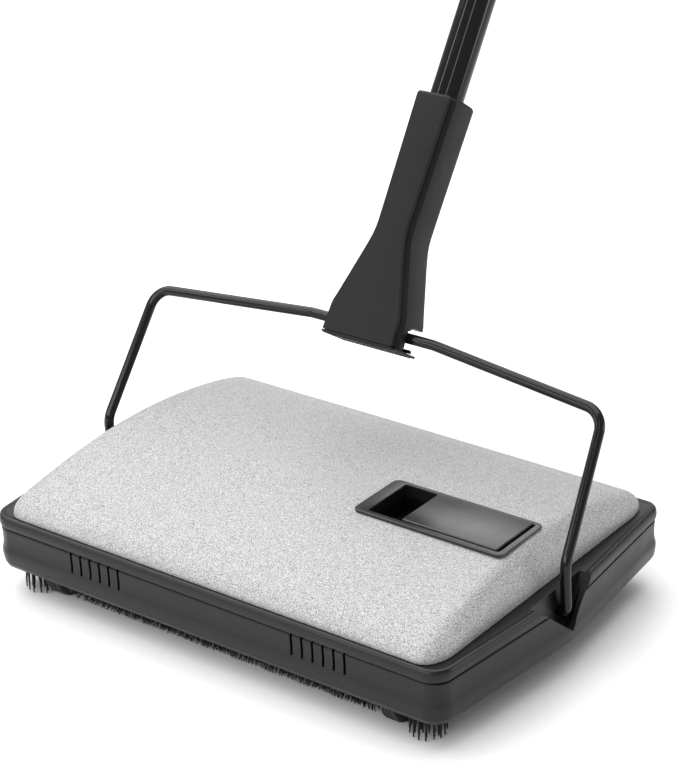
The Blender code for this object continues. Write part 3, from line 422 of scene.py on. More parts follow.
def add_box(bm, low, high):
    low, high = Vector(low), Vector(high)
    size = Matrix.Diagonal((*(high - low), 1))
    bmesh.ops.create_cube(bm, size=1, matrix=Matrix.Translation((low + high) / 2) @ size)


def add_rod(bm, start, end, radius, sides):
    start, end = Vector(start), Vector(end)
    along = end - start
    turn = Vector((0, 0, 1)).rotation_difference(along).to_matrix().to_4x4()
    bmesh.ops.create_cone(
        bm,
        cap_ends=True,
        segments=sides,
        radius1=radius,
        radius2=radius,
        depth=along.length,
        matrix=Matrix.Translation((start + end) / 2) @ turn,
    )


def add_prism(bm, outline, low, high, axis):
    """A closed outline in the two other axes, drawn out along axis."""

    def point(a, b, along):
        return {"X": (along, a, b), "Y": (a, along, b), "Z": (a, b, along)}[axis]

    ends = [[bm.verts.new(point(a, b, along)) for a, b in outline] for along in (low, high)]
    for ring in ends:
        bm.faces.new(ring)
    for i in range(len(outline)):
        j = (i + 1) % len(outline)
        bm.faces.new((ends[0][i], ends[0][j], ends[1][j], ends[1][i]))


def add_rings(bm, rings, closed=False):
    """A skin over rings of points, with an end cap on each end unless the last ring joins the first."""
    made = [[bm.verts.new(point) for point in ring] for ring in rings]
    pairs = list(zip(made, made[1:]))
    if closed:
        pairs.append((made[-1], made[0]))
    else:
        bm.faces.new(made[0])
        bm.faces.new(made[-1])
    for lower, upper in pairs:
        for i in range(len(lower)):
            j = (i + 1) % len(lower)
            bm.faces.new((lower[i], lower[j], upper[j], upper[i]))


def add_turned(bm, profile, sides=64, along="X"):
    """A closed profile of (radius, distance along the axis), turned about the axis."""
    rings = []
    for radius, at in profile:
        ring = []
        for i in range(sides):
            angle = 2 * math.pi * i / sides
            a, b = radius * math.cos(angle), radius * math.sin(angle)
            ring.append((at, a, b) if along == "X" else (a, b, at))
        rings.append(ring)
    add_rings(bm, rings, closed=True)
    bmesh.ops.remove_doubles(bm, verts=bm.verts, dist=1e-6)


def arc(centre, radius, first, last, steps=8):
    """Points on a circle, from the first angle to the last, in degrees."""
    return [
        (
            centre[0] + radius * math.cos(math.radians(first + (last - first) * i / steps)),
            centre[1] + radius * math.sin(math.radians(first + (last - first) * i / steps)),
        )
        for i in range(steps + 1)
    ]


def rounded_rectangle(centre, half, radius, steps=8):
    """The outline of a rectangle with round corners, anticlockwise from its lower right corner."""
    points = []
    for quarter, (sx, sy) in enumerate(((1, -1), (1, 1), (-1, 1), (-1, -1))):
        middle = (centre[0] + sx * (half[0] - radius), centre[1] + sy * (half[1] - radius))
        points += arc(middle, radius, (quarter - 1) * 90, quarter * 90, steps)
    return points


def at_height(plan, z):
    return [(x, y, z) for x, y in plan]


# ---------------------------------------------------------------- housing


def housing_plan(inset):
    """Straight front and rear, rounded corners, and sides that are a shallow V with a soft apex."""
    lean = math.atan2(SIDE_BULGE, DEPTH_HALF)

    def corner(radius):
        centre_x = FRONT_HALF - radius * (1 - math.sin(lean)) / math.cos(lean)
        return arc((centre_x, radius - DEPTH_HALF), radius - inset, -90, -math.degrees(lean), 18)

    apex = FRONT_HALF + SIDE_BULGE - inset / math.cos(lean)
    soft = 10 * MM
    side = []
    for i in range(-6, 7):
        y = soft * i / 6
        fall = math.tan(lean) * (abs(y) if abs(y) >= soft else (y * y / soft + soft) / 2)
        side.append((apex - fall, y))
    right = corner(FRONT_RADIUS) + side + [(x, -y) for x, y in reversed(corner(REAR_RADIUS))]
    return right + [(-x, y) for x, y in reversed(right)]


HOUSING_OUTER = [  # inset and height in mm, up the outside
    (3.8, 14.8),
    (3.3, 14.82),
    (2.8, 15.0),
    (2.3, 15.35),
    (1.9, 15.9),
    (1.45, 16.7),
    (1.2, 17.35),
    (0.95, 17.7),
    (0.8, 17.95),
    (0.78, 18.3),
    (0.7, 18.8),
    (0.4, 20.5),
    (0.15, 22.6),
    (0.1, 24.2),
    (0.2, 25.4),
    (0.5, 26.4),
    (0.8, 27.6),
    (1.05, 30.0),
    (1.05, 33.0),
    (0.9, 36.5),
    (0.75, 37.8),
    (0.85, 38.2),
    (1.15, 38.45),
    (1.5, 38.6),
    (1.7, 38.9),
    (1.5, 39.25),
    (0.8, 39.5),
    (0.4, 40.0),
    (0.12, 41.0),
    (0.0, 42.4),
    (0.1, 43.9),
    (0.45, 45.1),
    (1.1, 45.85),
    (1.9, 46.15),
    (2.7, 46.05),
    (3.2, 45.7),
    (3.7, 45.45),
    (4.6, 45.4),
]


def housing():
    rings = [at_height(housing_plan(inset * MM), z * MM) for inset, z in HOUSING_OUTER]

    def flange(z):
        """The flange's inner edge, with a point for each point of the plan."""
        half_x, half_y = FLANGE_HOLE
        radius = 6 * MM
        points = arc((half_x - radius, radius - half_y), radius, -90, 0, 18)
        side = [(half_x, 8 * MM * i / 6) for i in range(-6, 7)]
        right = points + side + [(x, -y) for x, y in reversed(points)]
        return at_height(right + [(-x, y) for x, y in reversed(right)], z)

    rings += [flange(LEDGE_TOP), flange(FLANGE_LOW)]
    inner = [(4.6, 42.6), (3.6, 30.0), (3.6, 20.0), (4.2, 14.8)]
    rings += [at_height(housing_plan(inset * MM), z * MM) for inset, z in inner]
    bm = bmesh.new()
    add_rings(bm, rings, closed=True)
    obj = object_of("housing_shell", bm, HOUSING_BLACK, BODY)

    def blocks(bm):
        for side in (-1, 1):
            low, high = sorted((side * BAIL_PLATE[0], side * BAIL_BLOCK[0]))
            add_box(bm, (low, -BAIL_BLOCK[1], 20 * MM), (high, BAIL_BLOCK[1], 43.8 * MM))

    cut(obj, blocks, BODY, "UNION")

    def notches(bm):
        for side in (-1, 1):
            low, high = sorted((side * (BAIL_PLATE[1] + NOTCH_SKIN), side * 162 * MM))
            add_prism(bm, NOTCH, low, high, "X")

    def holes(bm):
        for side in (-1, 1):
            start, end = (side * 140 * MM, 0, 32 * MM), (side * 150 * MM, 0, 32 * MM)
            add_rod(bm, start, end, BAIL_HOLE_RADIUS, 40)
            for i in range(VENT_COUNT):
                x = side * (VENT_FIRST + VENT_PITCH * i) * MM
                slot = rounded_rectangle((x, VENT_MIDDLE), VENT_HALF, 0.7 * MM, 5)
                add_prism(bm, slot, -106 * MM, -95 * MM, "Y")

    cut(obj, notches, BODY, angle=28)
    cut(obj, holes, BODY, angle=28)
    piece(obj, "sweeper_body", "lower_housing")


# ---------------------------------------------------------------- cover


def cover_point(u, v, inset=0.0):
    """The outer surface at (u, v), each from -1 to 1 with the fillets beyond 0.7, moved in by inset."""
    flat = 0.7
    places, fillets = [], []
    for value, half, fillet in zip((u, v), COVER_HALF, COVER_FILLET):
        size = half - fillet
        places.append(math.copysign(min(abs(value) / flat, 1) * size, value))
        beyond = max(abs(value) - flat, 0) / (1 - flat)
        fillets.append(math.sin(beyond * math.pi / 2))
    power = COVER_SQUARENESS
    total = (fillets[0] ** power + fillets[1] ** power) ** (1 / power)
    largest = max(fillets)
    shrink = largest / total if total else 1
    x, y = (
        place + math.copysign(part * shrink * (fillet - inset), value)
        for place, part, fillet, value in zip(places, fillets, COVER_FILLET, (u, v))
    )
    reach = COVER_HALF[1] - COVER_FILLET[1]
    crown = COVER_CROWN * min(abs(y) / reach, 1.08) ** 2 + 0.5 * MM * (x / COVER_HALF[0]) ** 2
    rise = COVER_TOP - inset - crown - COVER_BASE
    return x, y, COVER_BASE + rise * math.sqrt(max(1 - largest**2, 0))


def cover_lines(inner, outer):
    """Values from -1 to 1, with inner steps over the flat and outer steps over each fillet."""
    flat = [0.7 * i / inner for i in range(-inner, inner + 1)]
    rim = [0.7 + 0.3 * (i + 1) / outer for i in range(outer)]
    return [-value for value in reversed(rim)] + flat + rim


def edge_loop(shell):
    """The points around the edge of a grid of columns."""
    last = len(shell[0]) - 1
    return (
        [column[0] for column in shell]
        + shell[-1][1:]
        + [column[last] for column in reversed(shell[:-1])]
        + list(reversed(shell[0][1:-1]))
    )


def cover():
    bm = bmesh.new()
    across, along = cover_lines(18, 16), cover_lines(16, 16)
    shells = [
        [[bm.verts.new(cover_point(u, v, inset)) for v in along] for u in across]
        for inset in (0, COVER_WALL)
    ]
    for shell in shells:
        for column, after in zip(shell, shell[1:]):
            for i in range(len(along) - 1):
                bm.faces.new((column[i], column[i + 1], after[i + 1], after[i]))
    rims = [edge_loop(shell) for shell in shells]
    for i in range(len(rims[0])):
        j = (i + 1) % len(rims[0])
        bm.faces.new((rims[0][i], rims[0][j], rims[1][j], rims[1][i]))
    bmesh.ops.remove_doubles(bm, verts=bm.verts, dist=1e-6)
    obj = object_of("cover_shell", bm, SILVER, BODY, 50)

    def opening(bm):
        reach = BEZEL_HALF[0] - 1.2 * MM, BEZEL_HALF[1] - 1.2 * MM
        add_prism(bm, rounded_rectangle(BEZEL_CENTRE, reach, 3 * MM), 50 * MM, 75 * MM, "Z")

    cut(obj, opening, BODY, angle=50)
    piece(obj, "sweeper_body", "top_cover")


# ---------------------------------------------------------------- slider


def edge_rings(centre, half, radius, edge, top, bottom, steps=5):
    """Rings from the bottom up over a rounded top edge."""
    rings = [at_height(rounded_rectangle(centre, half, radius), bottom)]
    for i in range(steps + 1):
        angle = math.pi / 2 * i / steps
        inset = edge * (1 - math.cos(angle))
        z = top - edge + edge * math.sin(angle)
        size = (half[0] - inset, half[1] - inset)
        rings.append(at_height(rounded_rectangle(centre, size, max(radius - inset, 0.1 * MM)), z))
    return rings


def bezel():
    inner = rounded_rectangle(OPENING_CENTRE, OPENING_HALF, 1.2 * MM)
    lip = (OPENING_HALF[0] + 0.35 * MM, OPENING_HALF[1] + 0.35 * MM)
    lip_plan = rounded_rectangle(OPENING_CENTRE, lip, 1.5 * MM)
    skirt_half = BEZEL_HALF[0] - 1.5 * MM, BEZEL_HALF[1] - 1.5 * MM
    skirt = rounded_rectangle(BEZEL_CENTRE, skirt_half, 2.7 * MM)
    outside = edge_rings(BEZEL_CENTRE, BEZEL_HALF, 4 * MM, 0.55 * MM, BEZEL_TOP, 69 * MM)
    reach = COVER_HALF[1] - COVER_FILLET[1]
    foot = rounded_rectangle(BEZEL_CENTRE, BEZEL_HALF, 4 * MM)
    outside[0] = [(x, y, COVER_TOP - COVER_CROWN * (y / reach) ** 2 + 0.05 * MM) for x, y in foot]
    rings = [at_height(inner, SKIRT_LOW), at_height(inner, BEZEL_TOP - 0.35 * MM)]
    rings.append(at_height(lip_plan, BEZEL_TOP))
    rings += list(reversed(outside))
    rings += [at_height(skirt, 67.6 * MM), at_height(skirt, SKIRT_LOW)]
    bm = bmesh.new()
    add_rings(bm, rings, closed=True)
    obj = object_of("slider_frame", bm, BEZEL_GREY, BODY, 40)
    piece(obj, "sweeper_body", "slider_bezel")


def slider():
    """The blank plate that a finger moves, and the stem under it."""
    right = OPENING_CENTRE[0] + OPENING_HALF[0] - PLATE_END_GAP
    middle = (right - PLATE_LENGTH / 2, OPENING_CENTRE[1])
    half = (PLATE_LENGTH / 2, OPENING_HALF[1] - PLATE_SIDE_GAP)
    bottom = PLATE_TOP - PLATE_THICKNESS
    rings = edge_rings(middle, half, 0.9 * MM, 0.6 * MM, PLATE_TOP, bottom)
    bm = bmesh.new()
    add_rings(bm, rings)
    add_box(
        bm,
        (82 * MM, OPENING_CENTRE[1] - 3 * MM, 40.7 * MM),
        (88 * MM, OPENING_CENTRE[1] + 3 * MM, bottom),
    )
    obj = object_of("slider_thumb_plate", bm, SLIDER_GREY, BODY, 40)
    piece(obj, "slider", "slider_plate")


# ---------------------------------------------------------------- wheels and rollers


def tyre_profile():
    """A rubber tyre with rounded shoulders and three grooves in its tread."""
    half, radius, inner, shoulder = WHEEL_HALF, WHEEL_RADIUS, 11.2 * MM, 1.4 * MM
    out, along = radius - shoulder, half - shoulder
    quarter = [math.radians(a) for a in range(0, 91, 15)]
    points = [(inner, half)]
    points += [(out + shoulder * math.sin(a), along + shoulder * math.cos(a)) for a in quarter]
    for at in (1.9 * MM, 0, -1.9 * MM):
        points += [(radius, at + 0.6 * MM), (radius - 0.7 * MM, at + 0.35 * MM)]
        points += [(radius - 0.7 * MM, at - 0.35 * MM), (radius, at - 0.6 * MM)]
    points += [(out + shoulder * math.cos(a), -along - shoulder * math.sin(a)) for a in quarter]
    return points + [(inner, -half)]


def hub_profile(outward):
    """A hub dished on its outer side, given as distance along X."""
    edge, web, bore = WHEEL_HALF - 0.3 * MM, 2 * MM, 2.2 * MM
    points = [
        (bore, edge),
        (3.2 * MM, edge),
        (3.6 * MM, edge - 0.4 * MM),
        (4.0 * MM, web + 0.6 * MM),
        (4.6 * MM, web),
        (8.4 * MM, web),
        (9.0 * MM, web + 0.6 * MM),
        (9.4 * MM, edge - 0.3 * MM),
        (9.8 * MM, edge),
        (10.7 * MM, edge),
        (11.0 * MM, edge - 0.3 * MM),
        (11.0 * MM, -edge + 0.3 * MM),
        (10.7 * MM, -edge),
        (bore, -edge),
    ]
    return [(radius, outward * at) for radius, at in points]


def bristle(bm, layers, root, tip, thick, sides, bend, own):
    """A tapering bristle of two lengths. layers are the vertex layers for place along it and its own share
    of the painted tip highlight.
    """
    root, tip = Vector(root), Vector(tip)
    axis = (tip - root).normalized()
    across = axis.orthogonal().normalized()
    other = axis.cross(across)
    rings = []
    for part, width in ((0.0, 1.0), (0.6, 0.9), (1.0, 0.55)):
        centre = root.lerp(tip, part) + bend * math.sin(part * math.pi)
        ring = []
        for i in range(sides):
            angle = 2 * math.pi * i / sides
            offset = across * math.cos(angle) + other * math.sin(angle)
            vert = bm.verts.new(centre + offset * (thick * width))
            vert[layers[0]] = part
            vert[layers[1]] = own
            ring.append(vert)
        rings.append(ring)
    for lower, upper in zip(rings, rings[1:]):
        for i in range(sides):
            j = (i + 1) % sides
            bm.faces.new((lower[i], lower[j], upper[j], upper[i]))
    bm.faces.new(list(reversed(rings[0])))
    bm.faces.new(rings[-1])


def bristle_layers(bm):
    return bm.verts.layers.float.new("along"), bm.verts.layers.float.new("own")


def roller_bristles(end, hand, axis):
    """Ten rows of tufts that wind from the middle towards each end."""
    draw = random.Random(f"{end} roller")
    bm = bmesh.new()
    layers = bristle_layers(bm)
    rows, tufts, each, half = 10, 60, 16, 95.5 * MM
    for row in range(rows):
        for i in range(tufts):
            x = -half + 2 * half * i / (tufts - 1)
            twist = hand * 2 * math.pi * 0.45 * abs(x) / half
            middle = 2 * math.pi * row / rows + twist
            for _ in range(each):
                spread = draw.gauss(0, 0.1)
                angle = middle + draw.gauss(0, 0.035)
                root_x = x + draw.gauss(0, 0.45 * MM)
                root = Vector((root_x, BRISTLE_ROOT * math.cos(angle), BRISTLE_ROOT * math.sin(angle)))
                outer = root_x + draw.gauss(0, 0.9 * MM) + 3.2 * MM * (x / half) ** 9
                outer = max(-BRISTLE_END, min(BRISTLE_END, outer))
                length = min(BRISTLE_TIP + draw.gauss(0, 0.22 * MM), BRISTLE_REACH)
                turned = angle + spread * 0.8
                tip = Vector((outer, length * math.cos(turned), length * math.sin(turned)))
                bend = Vector((draw.gauss(0, 0.15), draw.gauss(0, 0.15), draw.gauss(0, 0.15))) * MM
                # The last argument is this bristle's share of the painted tip highlight, small for most.
                bristle(bm, layers, root, tip, 0.17 * MM, 3, bend, draw.random() ** 4)
    return object_of(f"{end}_roller_bristles", bm, BRISTLES, axis, 80)


def roller_core(end, axis):
    """A spool with a rim at each end, which the tufts stand on."""
    half = [(2.2, CORE_END), (9.6, CORE_END), (10.0, CORE_END - 0.4), (10.0, CORE_END - 1.0)]
    half += [(9.6, CORE_END - 1.4), (8.4, CORE_END - 1.4)]
    outline = half + [(radius, -at) for radius, at in reversed(half)]
    bm = bmesh.new()
    add_turned(bm, [(radius * MM, at * MM) for radius, at in outline])
    return object_of(f"{end}_roller_core", bm, NYLON, axis)


def roller_shaft(end, axis):
    reach = WHEEL_X + WHEEL_HALF + 0.5 * MM
    outline = [(0.0, reach), (1.6 * MM, reach), (2 * MM, reach - 0.4 * MM), (2 * MM, 0.4 * MM - reach)]
    outline += [(1.6 * MM, -reach), (0.0, -reach)]
    bm = bmesh.new()
    add_turned(bm, outline, 40)
    return object_of(f"{end}_shaft", bm, STEEL, axis)


def wheel(end, name, outward, axis):
    """A tyre and a spoked hub, each its own object."""
    place = axis @ Matrix.Translation((outward * WHEEL_X, 0, 0))
    bm = bmesh.new()
    add_turned(bm, tyre_profile(), 96)
    tyre = object_of(f"{end}_{name}_wheel_tyre", bm, TYRE, place)
    bm = bmesh.new()
    add_turned(bm, hub_profile(outward), 72)
    across = outward * 1.6 * MM
    for i in range(SPOKES):
        angle = 2 * math.pi * i / SPOKES
        inner, outer = (
            (across, out * MM * math.cos(angle), out * MM * math.sin(angle)) for out in (3.6, 9.4)
        )
        add_rod(bm, inner, outer, 1.3 * MM, 16)
    return tyre, object_of(f"{end}_{name}_wheel_hub", bm, NYLON, place)


def rollers():
    for end, hand in (("front", -1), ("rear", 1)):
        body = f"{end}_roller"
        axis = Matrix.Translation(JOINTS[f"{end}_roller_spin"]["pos_m"])
        piece(roller_bristles(end, hand, axis), body, f"{end}_brush_bristles")
        piece(roller_core(end, axis), body, f"{end}_brush_core")
        piece(roller_shaft(end, axis), body, f"{end}_roller_shaft")
        for name, outward in (("left", -1), ("right", 1)):
            tyre, hub = wheel(end, name, outward, axis)
            piece(tyre, body, f"{end}_{name}_tyre")
            piece(hub, body, f"{end}_{name}_hub")


def corner_brushes():
    """Two round blocks, each with rings of splayed bristles under it."""
    draw = random.Random("corner brushes")
    for hand in ("left", "right"):
        node = f"corner_brush_{hand}"
        low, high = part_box(node)
        centre = (low + high) / 2
        bm = bmesh.new()
        layers = bristle_layers(bm)
        block = [(0, 0), (8.6, 0), (9.3, 0.3), (9.6, 1.0), (9.6, 20.0), (0, 20.0)]
        add_turned(bm, [(r * MM, BLOCK_LOW + z * MM) for r, z in block], 48, "Z")
        for count, reach, phase in ((1, 0.0, 0.0), (6, 0.34, 0.3), (11, 0.66, 0.0), (15, 0.93, 0.2)):
            for i in range(count):
                angle = 2 * math.pi * i / count + phase + draw.gauss(0, 0.05)
                out = 9.2 * MM * reach
                root = Vector((out * math.cos(angle), out * math.sin(angle), BLOCK_LOW + 0.5 * MM))
                splay = out * 1.1 + draw.gauss(0, 0.35 * MM)
                turn = angle + draw.gauss(0, 0.05)
                tip_z = abs(draw.gauss(0, 0.5 * MM)) + 0.05 * MM
                tip = Vector((splay * math.cos(turn), splay * math.sin(turn), tip_z))
                bend = Vector((draw.gauss(0, 0.12), draw.gauss(0, 0.12), 0)) * MM
                # The last argument is this bristle's share of the painted tip highlight.
                bristle(bm, layers, root, tip, 0.66 * MM, 7, bend, draw.random())
        place = Matrix.Translation((centre.x, centre.y, 0))
        obj = object_of(f"{hand}_edge_brush", bm, TUFTS, place, 50)
        piece(obj, "sweeper_body", node)


# ---------------------------------------------------------------- handle


def rounded_path(corners, radii, steps=14):
    """Points along straight runs that meet in arcs of the given radii."""
    corners = [Vector(corner) for corner in corners]
    path = [corners[0]]
    for before, corner, after, radius in zip(corners, corners[1:], corners[2:], radii):
        back, on = (before - corner).normalized(), (after - corner).normalized()
        half = back.angle(on) / 2
        centre = corner + (back + on).normalized() * (radius / math.sin(half))
        start = corner + back * (radius / math.tan(half)) - centre
        end = corner + on * (radius / math.tan(half)) - centre
        turn = start.rotation_difference(end)
        for step in range(steps + 1):
            part = turn.copy()
            part.angle = turn.angle * step / steps
            path.append(centre + part @ start)
    return path + [corners[-1]]


def bail():
    def in_plane(x, height):
        return (x * MM, WIRE_OFFSET, height * MM)

    half = [(139.8 * MM, 0, 0), (152 * MM, 0, 0)]
    half += [in_plane(152, 22.4), in_plane(147.1, 100.4), in_plane(40, 110.6)]
    radii = [4 * MM, 14 * MM, 12 * MM, 25 * MM]
    corners = half + [(-x, y, z) for x, y, z in reversed(half)]
    path = rounded_path(corners, radii + radii[::-1])
    curve = bpy.data.curves.new("bail", "CURVE")
    curve.dimensions = "3D"
    curve.bevel_depth, curve.bevel_resolution = WIRE_RADIUS, 8
    curve.use_fill_caps = True
    spline = curve.splines.new("POLY")
    spline.points.add(len(path) - 1)
    for point, place in zip(spline.points, path):
        point.co = (*place, 1)
    drawn = bpy.data.objects.new("bail_curve", curve)
    bpy.context.scene.collection.objects.link(drawn)
    bpy.context.view_layer.update()
    mesh = bpy.data.meshes.new_from_object(drawn.evaluated_get(bpy.context.evaluated_depsgraph_get()))
    bpy.data.objects.remove(drawn)
    bm = bmesh.new()
    bm.from_mesh(mesh)
    bmesh.ops.remove_doubles(bm, verts=bm.verts, dist=1e-6)
    obj = object_of("bail", bm, WIRE_BLACK, HANDLE, 60)
    piece(obj, "handle", "bail_wire")


def socket_section(height, half_width, front, back):
    """A flat front panel with soft edges, a groove behind it, and a rounded back."""
    side = half_width + 2.4 * MM
    right = arc((half_width - 0.5 * MM, front + 0.5 * MM), 0.5 * MM, -90, 0, 5)
    right += [
        (half_width, front + 1.5 * MM),
        (half_width - 0.25 * MM, front + 1.9 * MM),
        (half_width - 0.9 * MM, front + 2.3 * MM),
        (half_width - 0.9 * MM, front + 3.0 * MM),
        (half_width - 0.2 * MM, front + 3.6 * MM),
        (side - 0.5 * MM, front + 5.0 * MM),
        (side - 0.1 * MM, front + 8.0 * MM),
        (side, front + 12.0 * MM),
        (side - 0.15 * MM, back - 7.0 * MM),
    ]
    radius = min(5.5 * MM, side - 1 * MM)
    right += arc((side - 0.3 * MM - radius, back - radius), radius, 0, 90, 12)
    return [(x, y, height) for x, y in right + [(-x, y) for x, y in reversed(right)]]


def socket():
    stations = [  # height and half width of the flat front, in mm
        (103.2, 22.4),
        (103.7, 22.7),
        (110.0, 22.4),
        (117.5, 22.0),
        (119.5, 21.65),
        (121.5, 21.0),
        (123.5, 20.3),
        (135.0, 16.9),
        (150.0, 12.45),
        (155.0, 11.1),
        (158.5, 10.25),
        (162.0, 9.7),
        (166.0, 9.45),
        (180.0, 9.6),
        (200.0, 9.9),
        (220.0, 10.2),
        (237.4, 10.5),
    ]
    rings = [socket_section(z * MM, half * MM, SOCKET_FRONT, SOCKET_BACK) for z, half in stations]
    for i in range(1, 7):
        angle = math.radians(15 * i)
        drop = 1.5 * MM * (1 - math.cos(angle))
        z = SOCKET_EDGE + 2.1 * MM * math.sin(angle)
        rings.append(socket_section(z, 10.5 * MM - drop, SOCKET_FRONT + drop, SOCKET_BACK - drop))
    bm = bmesh.new()
    add_rings(bm, rings)
    obj = object_of("socket_moulding", bm, SOCKET_BLACK, HANDLE, 30)

    def bore(bm):
        add_rod(bm, (0, TUBE_OFFSET, 117.7 * MM), (0, TUBE_OFFSET, 245 * MM), TUBE_RADIUS + 0.3 * MM, 72)

    def mouths(bm):
        for side in (-1, 1):
            low, high = sorted((side * 12 * MM, side * 30 * MM))
            outline = [(-18.6, 107.2), (-18, 106), (-16.6, 105.4), (-14, 105.3), (-12.4, 104.8)]
            outline += [(-11.2, 103.6), (-10.8, 102), (-10.8, 100), (0, 100), (0, 116.6)]
            outline += [(-14.6, 116.6), (-17.4, 115.6), (-18.6, 113.6)]
            add_prism(bm, [(y * MM, z * MM) for y, z in outline], low, high, "X")

    def channel(bm):
        low = (-26 * MM, WIRE_OFFSET - 3.4 * MM, 100 * MM)
        high = (26 * MM, WIRE_OFFSET + 3.4 * MM, 114.2 * MM)
        add_box(bm, low, high)

    for maker in (bore, mouths, channel):
        cut(obj, maker, HANDLE, angle=30)
    piece(obj, "handle", "socket_shell")


def socket_base():
    """The ribbed plate that closes the socket, with a saddle over the wire."""
    top = SOCKET_BASE_TOP
    bm = bmesh.new()
    plan = rounded_rectangle((0, -15.9 * MM), (24 * MM, 12.1 * MM), 2 * MM)
    add_prism(bm, plan, top - 1.2 * MM, top, "Z")
    base = object_of("socket_closing_plate", bm, SOCKET_BLACK, HANDLE, 30)

    def ribs(bm):
        for i in range(BASE_RIBS):
            x = (-22.4 + 2.65 * i) * MM
            add_box(bm, (x, -27.4 * MM, top - 1.6 * MM), (x + 1.2 * MM, -5.2 * MM, top - 1 * MM))

    def saddle(bm):
        low = (-18 * MM, WIRE_OFFSET - 3 * MM, top - 1 * MM)
        high = (18 * MM, WIRE_OFFSET + 3 * MM, 107.4 * MM)
        add_box(bm, low, high)

    for maker in (ribs, saddle):
        cut(base, maker, HANDLE, "UNION", 30)
    piece(base, "handle", "socket_base")


def tubes():
    starts = (TUBE_SPAN[0], TUBE_JOINTS[0] + 1 * MM, TUBE_JOINTS[1] + 1 * MM)
    ends = (*TUBE_JOINTS, TUBE_SPAN[1])
    axis = HANDLE @ Matrix.Translation((0, TUBE_OFFSET, 0))
    for name, low, high in zip(("lower", "middle", "upper"), starts, ends):
        outer, inner, edge = TUBE_RADIUS, TUBE_RADIUS - 0.6 * MM, 0.25 * MM
        profile = [(inner, high), (outer - edge, high), (outer, high - edge)]
        profile += [(outer, low + edge), (outer - edge, low), (inner, low)]
        bm = bmesh.new()
        add_turned(bm, profile, 96, "Z")
        tube = object_of(f"handle_tube_{name}", bm, TUBE_BLACK, axis)
        piece(tube, "handle", f"tube_{name}")
    for name, height in zip(("lower", "upper"), TUBE_JOINTS):
        inner, outer, half = TUBE_RADIUS + 0.2 * MM, TUBE_RADIUS + 1.5 * MM, 11 * MM
        middle = height + 0.5 * MM
        side = [(outer, half - 0.8 * MM)]
        for at in (6.5, 4.5, -4.5, -6.5):
            side += [(outer, at * MM + 0.5 * MM), (outer - 0.4 * MM, at * MM + 0.2 * MM)]
            side += [(outer - 0.4 * MM, at * MM - 0.2 * MM), (outer, at * MM - 0.5 * MM)]
        side.append((outer, -half + 0.8 * MM))
        side.append((outer - 0.8 * MM, -half))
        profile = [(inner, half), (outer - 0.8 * MM, half)] + side + [(inner, -half)]
        bm = bmesh.new()
        add_turned(bm, [(radius, middle + at) for radius, at in profile], 96, "Z")
        ferrule = object_of(f"tube_joint_{name}", bm, SOCKET_BLACK, axis, 40)
        piece(ferrule, "handle", f"{name}_ferrule")


def grip():
    """A rubber sleeve with ribs that swell and narrow in waves, over the end of the tube."""
    low, high = GRIP
    outer, inner, shoulder = 13 * MM, TUBE_RADIUS + 0.25 * MM, 2.4 * MM
    quarter = [math.radians(a) for a in range(0, 91, 15)]
    side = [
        (outer - shoulder + shoulder * math.sin(a), high - shoulder + shoulder * math.cos(a))
        for a in quarter
    ]
    for i in range(GRIP_RIBS):
        at = high - 8 * MM - GRIP_PITCH * i
        swell = 0.55 * MM * (1 - math.cos(2 * math.pi * i / 6.5)) / 2
        crest, trough = outer - swell, outer - swell - 0.75 * MM
        side += [(crest, at), (trough, at - 0.6 * MM), (trough, at - 1.4 * MM), (crest, at - 2.0 * MM)]
    side += [(outer, low + 1.6 * MM), (outer - 0.5 * MM, low + 0.4 * MM), (outer - 1.2 * MM, low)]
    bore_top = TUBE_SPAN[1] + 0.6 * MM
    profile = [(0, high)] + side + [(inner, low), (inner, bore_top), (0, bore_top)]
    bm = bmesh.new()
    add_turned(bm, profile, 80, "Z")
    sleeve = object_of("rubber_grip", bm, GRIP_RUBBER, HANDLE @ Matrix.Translation((0, TUBE_OFFSET, 0)), 50)
    piece(sleeve, "handle", "grip")


def end_cap():
    """A flat tab with a round top and a hanging hole."""
    axis = HANDLE @ Matrix.Translation((0, TUBE_OFFSET, 0))
    radius = 11.5 * MM
    middle = HANDLE_END - radius
    foot = GRIP[1] + 0.3 * MM
    outline = [(-radius, foot)] + arc((0, middle), radius, 180, 0, 40) + [(radius, foot)]
    bm = bmesh.new()
    add_prism(bm, outline, -5 * MM, 5 * MM, "X")
    cap = object_of("hanging_tab", bm, SOCKET_BLACK, axis)

    def hole(bm):
        add_rod(bm, (-8 * MM, 0, middle), (8 * MM, 0, middle), 6 * MM, 64)

    cut(cap, hole, axis)
    bevel(cap, 0.9 * MM, 4, 40)
    piece(cap, "handle", "end_cap")


# ---------------------------------------------------------------- CAD nodes that stay

KEPT = {
    "finger_well": WELL_BLACK,
    "chassis": HOUSING_BLACK,
    "front_dustpan": PAN_BLACK,
    "rear_dustpan": PAN_BLACK,
    "spreader_cam": NYLON,
    "bail_bush_left": HOUSING_BLACK,
    "bail_bush_right": HOUSING_BLACK,
}


def keep_cad_nodes():
    """Looks for the CAD nodes that stay as they are. Screws, pins and springs are steel."""
    for name, node in frame["nodes"].items():
        look = KEPT.get(name, STEEL)
        node.data.materials.clear()
        node.data.materials.append(look)


# ---------------------------------------------------------------- scene


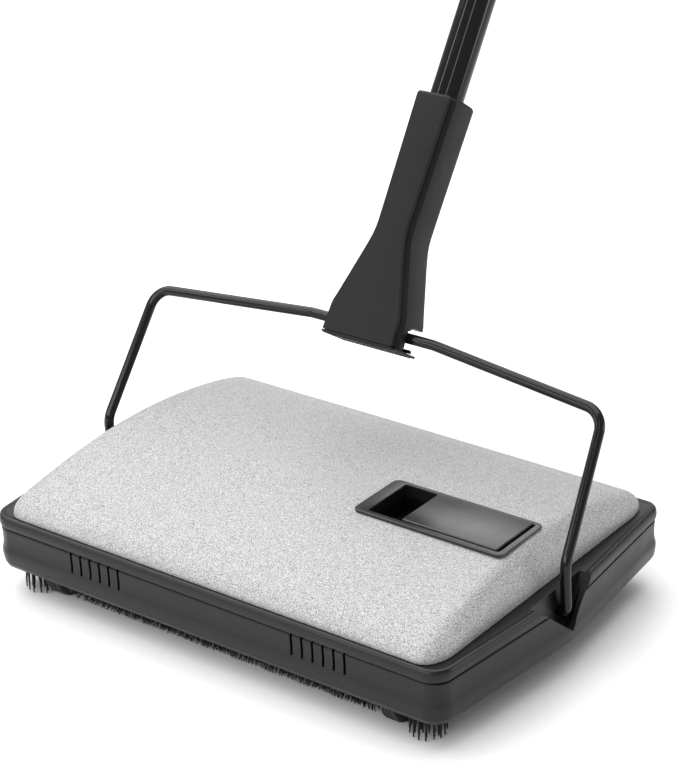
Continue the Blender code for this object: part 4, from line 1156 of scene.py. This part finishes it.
def stage():
    """A pale floor, a white sky and five soft lights."""
    bm = bmesh.new()
    bmesh.ops.create_grid(bm, x_segments=1, y_segments=1, size=8)
    floor_look = Look("floor", (0.86, 0.86, 0.86), 0.65)
    floor_look.link(
        floor_look.mix(floor_look.noise(3.0, 2.0), (0.85, 0.85, 0.85), (0.87, 0.87, 0.87)),
        floor_look.shader.inputs["Base Color"],
    )
    floor = object_of("floor", bm, floor_look.material, Matrix.Identity(4))

    world = bpy.data.worlds.new("studio")
    bpy.context.scene.world = world
    world.use_nodes = True
    sky = world.node_tree.nodes["Background"]
    sky.inputs["Color"].default_value = (1, 1, 1, 1)
    sky.inputs["Strength"].default_value = 0.46

    def light(name, place, target, size, power):
        data = bpy.data.lights.new(name, "AREA")
        data.shape = "RECTANGLE"
        data.size, data.size_y = size
        data.energy = power
        lamp = bpy.data.objects.new(name, data)
        bpy.context.scene.collection.objects.link(lamp)
        lamp.location = place
        lamp.rotation_euler = (Vector(target) - Vector(place)).to_track_quat("-Z", "Y").to_euler()

    middle = (0, BODY_Y, 0.05)
    light("overhead", (-0.75, BODY_Y + 0.35, 2.1), middle, (3.4, 3.4), 98)
    light("front", (-0.3, BODY_Y - 1.7, 0.75), (0, BODY_Y - 0.15, 0), (1.8, 0.7), 15)
    light("right", (1.6, BODY_Y + 1.1, 0.35), middle, (0.9, 0.4), 5)
    light("strip", (-1.3, BODY_Y - 1.1, 0.9), middle, (0.12, 1.4), 5)
    light("strip_high", (0.9, BODY_Y - 1.6, 1.9), middle, (0.12, 1.2), 4)
    bpy.context.scene.view_settings.view_transform = "Standard"


def camera():
    data = bpy.data.cameras.new("camera")
    data.sensor_fit = "VERTICAL"
    data.sensor_height = 36
    data.lens = CAMERA_LENS
    view = bpy.data.objects.new("camera", data)
    bpy.context.scene.collection.objects.link(view)
    rotation = Matrix((CAMERA_RIGHT, -CAMERA_DOWN, -CAMERA_FORWARD)).transposed()
    view.matrix_world = Matrix.Translation(CAMERA_PLACE) @ rotation.to_4x4()
    data.clip_end = 50
    bpy.context.scene.camera = view


def main():
    camera()
    keep_cad_nodes()
    housing()
    cover()
    bezel()
    slider()
    rollers()
    corner_brushes()
    bail()
    socket()
    socket_base()
    tubes()
    grip()
    end_cap()
    stage()


main()
